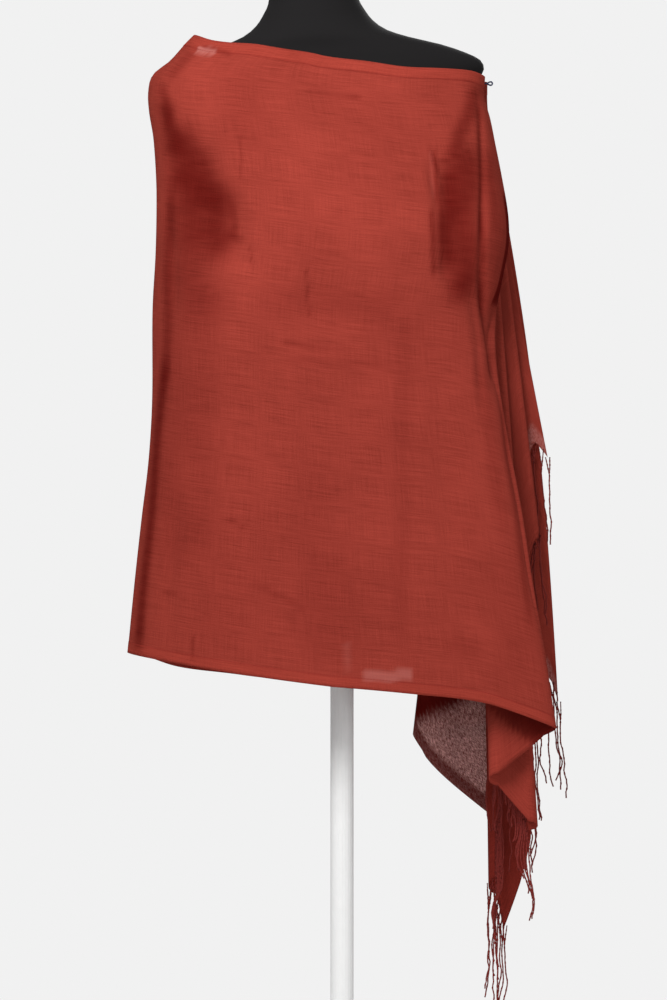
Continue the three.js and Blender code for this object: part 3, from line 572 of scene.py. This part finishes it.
def cloth_piece(name, grid, lengths, thickness, hem_rows, tones, start_u):
    """Thin shell on a grid, with a UV map in metres along the cloth, from start_u on, and across it"""
    columns, rows = grid.shape[:2]
    index = np.arange(columns * rows).reshape(columns, rows)
    quads = np.stack([index[:-1, :-1], index[1:, :-1], index[1:, 1:], index[:-1, 1:]], -1).reshape(-1, 4)
    obj = new_mesh(name, grid.reshape(-1, 3), quads.tolist())
    mesh = obj.data
    step = np.linalg.norm(np.diff(grid, axis=0), axis=-1).max(axis=1)
    u = start_u + np.concatenate([[0], np.cumsum(step)]) * MM
    v = np.concatenate([[0], np.cumsum(lengths)]) * MM
    corners = np.empty(len(mesh.loops), int)
    mesh.loops.foreach_get("vertex_index", corners)
    uv = np.stack([u[corners // rows], v[corners % rows]], -1)
    mesh.uv_layers.new(name="cloth").data.foreach_set("uv", uv.ravel())
    plain = np.zeros((columns, rows))
    hem = plain.copy()
    hem[:, hem_rows] = 1
    for key in CLOTH_MASKS:
        field = np.ravel({"hem": hem, **tones}.get(key, plain))
        mesh.attributes.new(key, "FLOAT", "POINT").data.foreach_set("value", field)
    if "sheer" in tones:
        through = np.ravel(tones["sheer"])[quads].max(axis=1) > 0.01
        mesh.polygons.foreach_set("material_index", through.astype(int))
    group = obj.vertex_groups.new(name="hem")
    group.add([int(i) for i in np.flatnonzero(hem)], 1.0, "REPLACE")
    solid = obj.modifiers.new("thickness", "SOLIDIFY")
    solid.thickness = thickness * 2
    solid.offset = 0
    solid.vertex_group = "hem"
    solid.thickness_vertex_group = 0.5
    for polygon in mesh.polygons:
        polygon.use_smooth = True
    return obj


def apply_modifiers(obj):
    """Turns the evaluated object into a plain mesh and drops its modifiers"""
    graph = bpy.context.evaluated_depsgraph_get()
    mesh = bpy.data.meshes.new_from_object(obj.evaluated_get(graph), preserve_all_data_layers=True,
                                           depsgraph=graph)
    obj.modifiers.clear()
    obj.data = mesh
    return obj


def feed(socket, value):
    """Links a node or one of its outputs to an input, or sets the input's own value"""
    if isinstance(value, bpy.types.Node):
        value = value.outputs[0]
    if isinstance(value, bpy.types.NodeSocket):
        socket.id_data.links.new(value, socket)
    else:
        socket.default_value = value


def fill(node, *sources, **values):
    """Feeds a node's settings and inputs by name, then its inputs in order"""
    for name, value in values.items():
        label = name.replace("_", " ")
        if label in node.inputs.keys():
            feed(node.inputs[label], value)
        else:
            setattr(node, name, value)
    for socket, value in zip(node.inputs, sources):
        feed(socket, value)
    return node


def adder(tree):
    """Gives the function that adds filled nodes to a tree"""
    return lambda kind, *sources, **values: fill(tree.nodes.new(kind), *sources, **values)


def weave_group():
    """Plain weave with slubs: puts out tone, thread height and a gauze of open threads"""
    if "plain_weave" in bpy.data.node_groups:
        return bpy.data.node_groups["plain_weave"]
    tree = bpy.data.node_groups.new("plain_weave", "ShaderNodeTree")
    add = adder(tree)
    face = tree.interface
    face.new_socket("Vector", in_out="INPUT", socket_type="NodeSocketVector")
    for name, value in [("Thread Pitch", 0.0009), ("Slub", 0.5)]:
        face.new_socket(name, in_out="INPUT", socket_type="NodeSocketFloat").default_value = value
    for name in ("Tone", "Height", "Gauze"):
        face.new_socket(name, in_out="OUTPUT", socket_type="NodeSocketFloat")
    start = add("NodeGroupInput").outputs
    parts = add("ShaderNodeSeparateXYZ", start["Vector"]).outputs

    def maths(operation, *values):
        return add("ShaderNodeMath", *values, operation=operation)

    def streaks(scale_u, scale_v, detail=2):
        place = add("ShaderNodeMapping", start["Vector"], Scale=(scale_u, scale_v, 1))
        return add("ShaderNodeTexNoise", place, noise_dimensions="2D", Scale=1.0, Detail=detail,
                   Roughness=0.6)

    def threads(axis):
        turns = maths("DIVIDE", parts[axis], start["Thread Pitch"])
        return maths("SINE", maths("MULTIPLY", turns, 2 * math.pi))

    def blend(*terms):
        """Sum of nodes, each with its weight"""
        total = None
        for node, weight in terms:
            term = maths("MULTIPLY", node, weight)
            total = term if total is None else maths("ADD", total, term)
        return total

    along = streaks(18, 1100)
    across = streaks(1000, 26)
    slub = add("ShaderNodeMapRange", streaks(24, 520), From_Min=0.6, From_Max=0.78)
    weave = maths("MULTIPLY", threads(0), threads(1))
    tone = blend((along, 0.62), (across, 0.4), (streaks(7, 9), 0.34), (streaks(1300, 1300, 1), 0.56))
    tone = maths("SUBTRACT", maths("SUBTRACT", tone, 0.96), maths("MULTIPLY", slub, 0.14))
    tone = maths("MULTIPLY", tone, start["Slub"])
    height = blend((weave, 0.25), (along, 0.8), (across, 0.6), (slub, 0.6))
    gauze = maths("SUBTRACT", maths("ADD", streaks(210, 1300), streaks(1300, 210)), 1)
    add("NodeGroupOutput", Tone=tone, Height=height, Gauze=gauze)
    return tree


def colour_mix(add, factor, a, b, blend="MIX"):
    """Mixes two colours, each a value or a socket, and gives the result's socket"""
    node = add("ShaderNodeMix", factor, data_type="RGBA", blend_type=blend)
    pair = [socket for socket in node.inputs if socket.type == "RGBA"]
    for socket, value in zip(pair, (a, b)):
        feed(socket, value if isinstance(value, bpy.types.NodeSocket) else (*value, 1))
    return next(socket for socket in node.outputs if socket.type == "RGBA")


def new_material(name):
    material = bpy.data.materials.new(name)
    material.use_nodes = True
    return material, adder(material.node_tree)


def cloth_material(name, dark, light, translucent, see_through):
    """Sheer woven cloth, lit through from behind, with painted shade and painted light mixed into its colour
    """
    material, add = new_material(name)
    material.node_tree.nodes.clear()
    uv = add("ShaderNodeUVMap", uv_map="cloth")
    weave = add("ShaderNodeGroup", node_tree=weave_group(), Slub=1.5, Vector=uv).outputs
    shift = add("ShaderNodeMath", weave["Tone"], 0.5, operation="ADD", use_clamp=True)
    hem, painted_shade, painted_light, sheer = [
        add("ShaderNodeAttribute", attribute_name=key).outputs["Fac"] for key in CLOTH_MASKS]
    colour = colour_mix(add, shift, dark, light)
    colour = colour_mix(add, hem, colour, HEM_TINT, "MULTIPLY")
    # Painted light where light shines through a single layer
    colour = colour_mix(add, painted_light, colour, PAINTED_LIGHT_COLOUR)
    # Painted shade in hollows, folds, creases and cast shadows
    colour = colour_mix(add, painted_shade, colour, PAINTED_SHADE_TINT, "MULTIPLY")
    if see_through:
        # Painted light seen through the open weave of a single layer
        specks = add("ShaderNodeMapRange", weave["Gauze"], From_Min=-0.16, From_Max=0.2)
        colour = colour_mix(add, sheer, colour, colour_mix(add, specks, MESH_DARK, MESH_PAINTED_LIGHT))
    bump = add("ShaderNodeBump", Strength=0.3, Distance=0.0004, Height=weave["Height"])
    cloth = add("ShaderNodeBsdfPrincipled", Roughness=0.8, Specular_IOR_Level=0.0,
                Sheen_Weight=0.02, Sheen_Roughness=0.4, Sheen_Tint=SHEEN_TINT,
                Base_Color=colour, Normal=bump)
    through = add("ShaderNodeBsdfTranslucent", colour)
    result = add("ShaderNodeMixShader", translucent, cloth, through)
    if see_through:
        gaps = add("ShaderNodeMapRange", weave["Tone"], From_Min=-0.3, From_Max=0.3,
                   To_Min=see_through * 0.6, To_Max=see_through * 1.4)
        share = add("ShaderNodeMath", sheer, gaps, operation="MULTIPLY", use_clamp=True)
        clear = add("ShaderNodeBsdfTransparent")
        result = add("ShaderNodeMixShader", share, result, clear)
    add("ShaderNodeOutputMaterial", result)
    return material


def plain_material(name, base, roughness, grain, scale, bump_strength, **values):
    """Solid finish with a soft grain in its colour, roughness and surface"""
    material, add = new_material(name)
    place = add("ShaderNodeTexCoord").outputs["Object"]
    noise = add("ShaderNodeTexNoise", place, Scale=scale, Detail=4.0, Roughness=0.6)
    dark, light = [[min(c * (1 + change), 1) for c in base] for change in (-grain, grain)]
    rough = add("ShaderNodeMapRange", noise, To_Min=max(roughness - 0.06, 0), To_Max=min(roughness + 0.06, 1))
    bump = add("ShaderNodeBump", Strength=bump_strength, Distance=0.0003, Height=noise)
    shader = next(n for n in material.node_tree.nodes if n.type == "BSDF_PRINCIPLED")
    fill(shader, Base_Color=colour_mix(add, noise, dark, light), Roughness=rough, Normal=bump, **values)
    return material


def yarn_material(name, base):
    return plain_material(name, base, 0.9, 0.35, 600, 0.4, Specular_IOR_Level=0.1)


def new_tree(name, sockets):
    """Starts a Geometry Nodes tree: gives the function that adds its nodes, and its named inputs"""
    tree = bpy.data.node_groups.new(name, "GeometryNodeTree")
    tree.interface.new_socket("Geometry", in_out="INPUT", socket_type="NodeSocketGeometry")
    for socket, value in sockets.items():
        kind = "NodeSocketInt" if isinstance(value, int) else "NodeSocketFloat"
        tree.interface.new_socket(socket, in_out="INPUT", socket_type=kind).default_value = value
    tree.interface.new_socket("Geometry", in_out="OUTPUT", socket_type="NodeSocketGeometry")
    add = adder(tree)
    return add, add("NodeGroupInput").outputs


def finish_tree(add, geometry, material):
    """Makes the instances real, sets their finish, hands them to the output and gives the tree"""
    real = add("GeometryNodeRealizeInstances", geometry)
    painted = add("GeometryNodeSetMaterial", real, Material=material)
    return add("NodeGroupOutput", painted).id_data


def run_tree(name, tree, line, values):
    """Runs a tree on a line of points and gives the result as one plain mesh object"""
    obj = new_mesh(name, line, [], [(i, i + 1) for i in range(len(line) - 1)])
    modifier = obj.modifiers.new("make", "NODES")
    modifier.node_group = tree
    names = {item.name: item.identifier for item in tree.interface.items_tree
             if item.item_type == "SOCKET" and item.in_out == "INPUT"}
    for key, value in values.items():
        modifier[names[key]] = value
    return apply_modifiers(obj)


def stitch_tree(material):
    """Short stitches in a row along a seam line"""
    add, start = new_tree("seam_stitches", {"Spacing": 0.0034, "Length": 0.0022, "Width": 0.0004})
    seam = add("GeometryNodeMeshToCurve", start["Geometry"])
    spots = add("GeometryNodeCurveToPoints", mode="LENGTH", Curve=seam, Length=start["Spacing"])
    size = add("ShaderNodeCombineXYZ", start["Width"], start["Width"], start["Length"])
    stitch = add("GeometryNodeMeshCube", Size=size)
    put = add("GeometryNodeInstanceOnPoints", Points=spots, Instance=stitch,
              Rotation=spots.outputs["Rotation"])
    return finish_tree(add, put, material)


def strand_shape(add):
    """One strand of unit length: two thin roots that join and run on as one yarn"""
    join = add("GeometryNodeJoinGeometry")
    for start, end, count, radius in (((-0.0024, 0, 0), (0.0003, 0, -0.22), 6, 0.75),
                                      ((0.0024, 0, 0), (-0.0003, 0, -0.22), 6, 0.75),
                                      ((0, 0, -0.2), (0, 0, -1), 26, 1)):
        line = add("GeometryNodeCurvePrimitiveLine", Start=start, End=end)
        fine = add("GeometryNodeResampleCurve", Curve=line, Count=count)
        yarn = add("GeometryNodeSetCurveRadius", Curve=fine, Radius=radius)
        feed(join.inputs[0], yarn)
    parts = add("ShaderNodeSeparateXYZ", add("GeometryNodeInputPosition")).outputs
    down = add("ShaderNodeMath", parts[2], operation="ABSOLUTE")
    return add("GeometryNodeStoreNamedAttribute", join, Name="hang", Value=down)


def fringe_tree(material):
    """Twisted strands hanging from a cut edge, which sway, fan out and twist further down"""
    add, start = new_tree("hanging_strands", {
        "Strand Count": 60, "Shortest": 0.09, "Longest": 0.12, "Yarn Radius": 0.0008,
        "Sway": 0.008, "Fan": 0.2, "Twists": 60.0, "Seed": 3,
    })

    def vector(operation, *values, **named_values):
        return add("ShaderNodeVectorMath", *values, operation=operation, **named_values)

    def growing(name):
        """An input that grows with the distance down the strand"""
        return add("ShaderNodeMath", hang, start[name], operation="MULTIPLY")

    edge = add("GeometryNodeMeshToCurve", start["Geometry"])
    roots = add("GeometryNodeResampleCurve", Curve=edge, Count=start["Strand Count"])
    size = add("FunctionNodeRandomValue", Seed=start["Seed"])
    low, high = [s for s in size.inputs if s.type == "VALUE" and s.name in ("Min", "Max")][:2]
    feed(low, start["Shortest"])
    feed(high, start["Longest"])
    scale = add("ShaderNodeCombineXYZ", 1, 1, next(s for s in size.outputs if s.type == "VALUE"))
    put = add("GeometryNodeInstanceOnPoints", Points=roots, Instance=strand_shape(add), Scale=scale)
    real = add("GeometryNodeRealizeInstances", put)
    place = add("GeometryNodeInputPosition")
    hang = add("GeometryNodeInputNamedAttribute", Name="hang")
    noise = add("ShaderNodeTexNoise", vector("MULTIPLY", place, (80, 80, 21)), Scale=1.0, Detail=3.0)
    middle = vector("SUBTRACT", noise.outputs["Color"], (0.5, 0.5, 0.5))
    sway = vector("SCALE", vector("MULTIPLY", middle, (4, 3, 0)), Scale=growing("Sway"))
    from_centre = vector("MULTIPLY_ADD", place, (1, 0, 0), (-FAN_CENTRE, 0, 0))
    fan = vector("SCALE", from_centre, Scale=growing("Fan"))
    moved = add("GeometryNodeSetPosition", Geometry=real, Offset=vector("ADD", sway, fan))
    tilted = add("GeometryNodeSetCurveTilt", Curve=moved, Tilt=growing("Twists"))
    ring = add("GeometryNodeCurvePrimitiveCircle", Resolution=6, Radius=start["Yarn Radius"])
    oval = add("GeometryNodeTransform", ring, Scale=(1, 0.7, 1))
    sweep = add("GeometryNodeCurveToMesh", Curve=tilted, Profile_Curve=oval, Fill_Caps=True)
    return finish_tree(add, sweep, material)


class ScarfSettings(bpy.types.PropertyGroup):
    """Sizes and colours of the scarf"""
    thickness: bpy.props.FloatProperty(
        name="Thickness", description="Thickness of one layer of the cloth", default=0.0006,
        min=0.0002, subtype="DISTANCE", unit="LENGTH")
    translucent: bpy.props.FloatProperty(
        name="Sheerness", description="Share of the light that passes through the cloth",
        default=0.22, min=0, max=1, subtype="FACTOR")
    open_weave: bpy.props.FloatProperty(
        name="Open weave", description="Share seen through one face of a single layer",
        default=0.1, min=0, max=1, subtype="FACTOR")
    stitch_length: bpy.props.FloatProperty(
        name="Stitch length", description="Length of one hem stitch", default=0.0022,
        subtype="DISTANCE", unit="LENGTH")
    stitch_spacing: bpy.props.FloatProperty(
        name="Stitch spacing", description="Distance from one hem stitch to the next", default=0.0034,
        subtype="DISTANCE", unit="LENGTH")
    dark: bpy.props.FloatVectorProperty(
        name="Dark yarn", description="Colour of the darker yarns", size=3, subtype="COLOR",
        default=(0.24, 0.031, 0.021))
    light: bpy.props.FloatVectorProperty(
        name="Light yarn", description="Colour of the lighter yarns", size=3, subtype="COLOR",
        default=(0.46, 0.066, 0.046))


class FringeSettings(bpy.types.PropertyGroup):
    """Sizes of the two fringes"""
    yarn_radius: bpy.props.FloatProperty(
        name="Yarn radius", description="Half the width of a twisted strand", default=0.00105,
        subtype="DISTANCE", unit="LENGTH")
    front_count: bpy.props.IntProperty(
        name="Front strands", description="Strands on the front end", default=46, min=2)
    back_count: bpy.props.IntProperty(
        name="Back strands", description="Strands on the back end", default=48, min=2)


class PinSettings(bpy.types.PropertyGroup):
    """Sizes of the shoulder pin"""
    head_length: bpy.props.FloatProperty(
        name="Head length", description="Length of the drop-shaped head", default=0.0062,
        subtype="DISTANCE", unit="LENGTH")
    head_height: bpy.props.FloatProperty(
        name="Head height", description="Height of the drop-shaped head", default=0.0052,
        subtype="DISTANCE", unit="LENGTH")
    wire: bpy.props.FloatProperty(
        name="Wire", description="Thickness of the wire", default=0.0018,
        subtype="DISTANCE", unit="LENGTH")


class StageSettings(bpy.types.PropertyGroup):
    """Light and floor"""
    floor_radius: bpy.props.FloatProperty(
        name="Floor radius", description="Radius of the pale floor", default=2.0,
        subtype="DISTANCE", unit="LENGTH")
    back_light: bpy.props.FloatProperty(
        name="Surround", description="Brightness of the pale surround", default=0.88, min=0)


def add_cloth(obj, context, names):
    """Puts the close and the sheer cloth finish on a piece"""
    s = context.scene.scarf
    for name in names:
        made = bpy.data.materials.get(name)
        see_through = s.open_weave if "sheer" in name else 0
        obj.data.materials.append(made or cloth_material(name, s.dark, s.light, s.translucent, see_through))


class SCARF_OT_body(bpy.types.Operator):
    """Drape the stretch round the form: front, covered shoulder and back"""
    bl_idname = "scarf.body"
    bl_label = "Scarf round the form"

    def execute(self, context):
        s = context.scene.scarf
        grid, drops, tones = body_points()
        hems = [*range(SEAM_ROW), *range(-SEAM_ROW, 0)]
        lengths = np.diff(drops) * CLOTH_DROP
        obj = cloth_piece("scarf_wrap", grid, lengths, s.thickness, hems, tones, start_u=0.3)
        add_cloth(obj, context, ("scarf_weave",))
        apply_modifiers(obj)
        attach(obj, "root")
        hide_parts("scarf_front", "scarf_left_shoulder", "scarf_back")
        tree = stitch_tree(yarn_material("hem_thread", THREAD_COLOUR))
        out = grid_normals(grid) * (s.thickness * STITCH_LIFT)
        for name, row, outer in (("top_hem_stitches", SEAM_ROW, SEAM_ROW - 1),
                                 ("low_hem_stitches", -SEAM_ROW - 1, -SEAM_ROW)):
            line = mix(grid[:, row], grid[:, outer], 0.4) + out[:, row]
            seam = run_tree(name, tree, line, {"Spacing": s.stitch_spacing, "Length": s.stitch_length})
            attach(seam, "root")
        return {"FINISHED"}


class SCARF_OT_ends(bpy.types.Operator):
    """Gather the two ends below the pin"""
    bl_idname = "scarf.ends"
    bl_label = "Gathered ends"

    def execute(self, context):
        s = context.scene.scarf
        lengths = np.full(END_ROWS - 1, END_ROW_DROP)
        for name, end, flat in (("scarf_front_end", FRONT_END, 0.27), ("scarf_back_end", BACK_END, 0.60)):
            grid, _, tones = end_points(end)
            obj = cloth_piece(name + "_cloth", grid, lengths, s.thickness, [0], tones, start_u=1.4)
            add_cloth(obj, context, ("scarf_weave", "scarf_weave_sheer"))
            apply_modifiers(obj)
            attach(obj, "root")
            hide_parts(name)
        return {"FINISHED"}


class SCARF_OT_fringe(bpy.types.Operator):
    """Hang twisted strands from the two short edges"""
    bl_idname = "scarf.fringe"
    bl_label = "Fringes"

    def execute(self, context):
        s = context.scene.scarf_fringe
        tree = fringe_tree(yarn_material("fringe_yarn", YARN_COLOUR))
        for name, end, count, shortest, longest, seed in (
                ("fringe_front_end", FRONT_END, s.front_count, 0.084, 0.112, 5),
                ("fringe_back_end", BACK_END, s.back_count, 0.108, 0.128, 11)):
            grid, listed, _ = end_points(end)
            edge = [grid[i, -1] for i, station in enumerate(listed) if is_fringed(end, station)]
            obj = run_tree(name + "_strands", tree, edge, {
                "Strand Count": count, "Shortest": shortest, "Longest": longest,
                "Yarn Radius": s.yarn_radius, "Seed": seed})
            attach(obj, "root")
            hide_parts(name)
        return {"FINISHED"}


def leaning(points):
    """Dress form frame to the part's frame"""
    x, y, z = points[..., 0], points[..., 1], points[..., 2] + TORSO_HEIGHT
    return np.stack([x * math.cos(LEAN) - z * math.sin(LEAN), y,
                     TORSO_BOTTOM + x * math.sin(LEAN) + z * math.cos(LEAN)], -1)


def torso_ring(height, inset=0, sides=96):
    """Rounded ring of the dress form at a height"""
    a = np.linspace(0, 2 * math.pi, sides + 1)[:-1]
    c = np.cos(a)
    s = np.sin(a)
    half = float(TORSO("half_width", height)) - inset
    depth = np.where(s < 0, float(TORSO("front", height)), float(TORSO("back", height))) - inset
    power = 2 / TORSO_ROUND
    x = half * np.sign(c) * np.abs(c) ** power
    y = depth * np.sign(s) * np.abs(s) ** power
    return np.stack([x, y, np.full(sides, float(height))], -1)


def closed_loft(name, rings):
    """Closed skin through rings of the same count"""
    count = len(rings[0])
    faces = [tuple(range(count))[::-1]]
    for j in range(len(rings) - 1):
        for k in range(count):
            n = (k + 1) % count
            faces.append((j * count + k, j * count + n, (j + 1) * count + n, (j + 1) * count + k))
    faces.append(tuple((len(rings) - 1) * count + k for k in range(count)))
    obj = new_mesh(name, np.concatenate(rings), faces)
    for polygon in obj.data.polygons[1:-1]:
        polygon.use_smooth = True
    return obj


class SCARF_OT_form(bpy.types.Operator):
    """Cover the dress form in jersey and finish its cap and stand"""
    bl_idname = "scarf.form"
    bl_label = "Form and stand"

    def execute(self, context):
        jersey = plain_material("form_jersey", JERSEY_COLOUR, 0.9, 0.35, 900, 0.5, Specular_IOR_Level=0.22)
        key = TORSO.key
        heights = np.concatenate([np.linspace(a, b, max(2, int((b - a) / 7) + 2))[:-1]
                                  for a, b in zip(key[:-1], key[1:])] + [key[-1:]])
        torso = closed_loft("form_jersey_cover", [leaning(torso_ring(h)) for h in heights])
        cap = closed_loft("form_cap_cover", [
            leaning(torso_ring(key[-1], inset) + np.array([0, 0, up])) for up, inset in CAP_STEPS])
        for obj, node, slot in ((torso, "form_torso", "form_cover"), (cap, "form_neck_cap", "form_cap")):
            obj.data.materials.append(jersey)
            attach(obj, "root")
            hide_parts(node)
        paint = plain_material("stand_paint", STAND_COLOUR, 0.42, 0.04, 60, 0.1)
        for node in ("stand_pole", "stand_foot"):
            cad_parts[node].material_slots[0].material = paint
        return {"FINISHED"}


class SCARF_OT_pin(bpy.types.Operator):
    """Bend the pin's wire into its drop-shaped head"""
    bl_idname = "scarf.pin"
    bl_label = "Shoulder pin"

    def execute(self, context):
        s = context.scene.scarf_pin
        centre = np.array(PIN_PLACE, float)
        half_length, half_height = s.head_length * 500, s.head_height * 500
        loop = []
        for a in np.linspace(0, 2 * math.pi, 33)[:-1]:
            drop = math.sin(a / 2) ** 1.3
            loop.append(centre + np.array([-half_length * math.cos(a), 0, half_height * math.sin(a) * drop]))
        shank = [loop[0] + np.array([-step, 0, 0]) for step in (0, 1.2, 2.6)]
        curve = bpy.data.curves.new("pin_path", "CURVE")
        curve.dimensions = "3D"
        curve.bevel_depth = s.wire / 2
        curve.bevel_resolution = 3
        curve.use_fill_caps = True
        for points, closed in ((loop, True), (shank, False)):
            spline = curve.splines.new("POLY")
            spline.points.add(len(points) - 1)
            for point, at in zip(spline.points, points):
                point.co = (*(at * MM), 1)
            spline.use_cyclic_u = closed
        path = show("pin_path", curve)
        graph = context.evaluated_depsgraph_get()
        mesh = bpy.data.meshes.new_from_object(path.evaluated_get(graph))
        bpy.data.objects.remove(path)
        mesh.materials.clear()
        mesh.materials.append(plain_material("pin_lacquer", LACQUER_COLOUR, 0.35, 0.2, 300, 0.1))
        for polygon in mesh.polygons:
            polygon.use_smooth = True
        wire = show("pin_wire_head", mesh)
        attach(wire, "root")
        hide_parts("shoulder_pin")
        return {"FINISHED"}


class SCARF_OT_stage(bpy.types.Operator):
    """Set the pale floor, soft lights and camera"""
    bl_idname = "scarf.stage"
    bl_label = "Stage"

    def execute(self, context):
        s = context.scene.scarf_stage
        radius = s.floor_radius * 1000
        ring = [(radius * math.cos(a), radius * math.sin(a), 0) for a in np.linspace(0, 2 * math.pi, 97)[:-1]]
        floor = new_mesh("floor", ring, [tuple(range(len(ring)))])
        floor.data.materials.append(plain_material("pale_floor", FLOOR_COLOUR, 0.7, 0.02, 3, 0.02))
        for name, (place, target, size, power) in LAMPS.items():
            data = bpy.data.lights.new(name, "AREA")
            data.shape = "DISK"
            data.size = size
            data.energy = power
            lamp = show(name, data)
            lamp.location = place
            x, y, z = [t - p for t, p in zip(target, place)]
            lamp.rotation_euler = (math.pi / 2 + math.atan2(z, math.hypot(x, y)), 0,
                                   math.atan2(y, x) - math.pi / 2)
        world = bpy.data.worlds.new("surround")
        context.scene.world = world
        world.use_nodes = True
        nodes = world.node_tree.nodes
        add = adder(world.node_tree)
        pale = s.back_light
        seen = fill(nodes["Background"], Color=(pale, pale, pale, 1), Strength=1.0)
        lit = add("ShaderNodeBackground", Color=(1, 1, 1, 1), Strength=0.34)
        path = add("ShaderNodeLightPath").outputs["Is Camera Ray"]
        fill(nodes["World Output"], add("ShaderNodeMixShader", path, lit, seen))
        context.scene.view_settings.view_transform = "Standard"
        lens = bpy.data.cameras.new("camera")
        lens.sensor_width = SENSOR
        lens.lens = SENSOR * -CAMERA_PLACE[1] / VIEW_HEIGHT
        camera = show("camera", lens)
        camera.location = CAMERA_PLACE
        camera.rotation_euler = (math.pi / 2, 0, 0)
        context.scene.camera = camera
        return {"FINISHED"}


class SCARF_PT_panel(bpy.types.Panel):
    """Lists the steps that dress the scarf"""
    bl_label = "Scarf"
    bl_idname = "SCARF_PT_panel"
    bl_space_type = "VIEW_3D"
    bl_region_type = "UI"
    bl_category = "Scarf"

    def draw(self, context):
        layout = self.layout
        for key in GROUPS:
            group = getattr(context.scene, key)
            for name in group.bl_rna.properties.keys():
                if name not in ("rna_type", "name"):
                    layout.prop(group, name)
        for step in STEPS:
            layout.operator(step.bl_idname)


STEPS = (SCARF_OT_body, SCARF_OT_ends, SCARF_OT_fringe, SCARF_OT_form, SCARF_OT_pin, SCARF_OT_stage)
GROUPS = {"scarf": ScarfSettings, "scarf_fringe": FringeSettings, "scarf_pin": PinSettings,
          "scarf_stage": StageSettings}
CLASSES = (*GROUPS.values(), *STEPS, SCARF_PT_panel)


def register():
    for cls in CLASSES:
        bpy.utils.register_class(cls)
    for name, cls in GROUPS.items():
        setattr(bpy.types.Scene, name, bpy.props.PointerProperty(type=cls))


def unregister():
    for name in GROUPS:
        delattr(bpy.types.Scene, name)
    for cls in reversed(CLASSES):
        bpy.utils.unregister_class(cls)


def main():
    register()
    for step in STEPS:
        group, name = step.bl_idname.split(".")
        getattr(getattr(bpy.ops, group), name)()


if __name__ == "__main__":
    main()
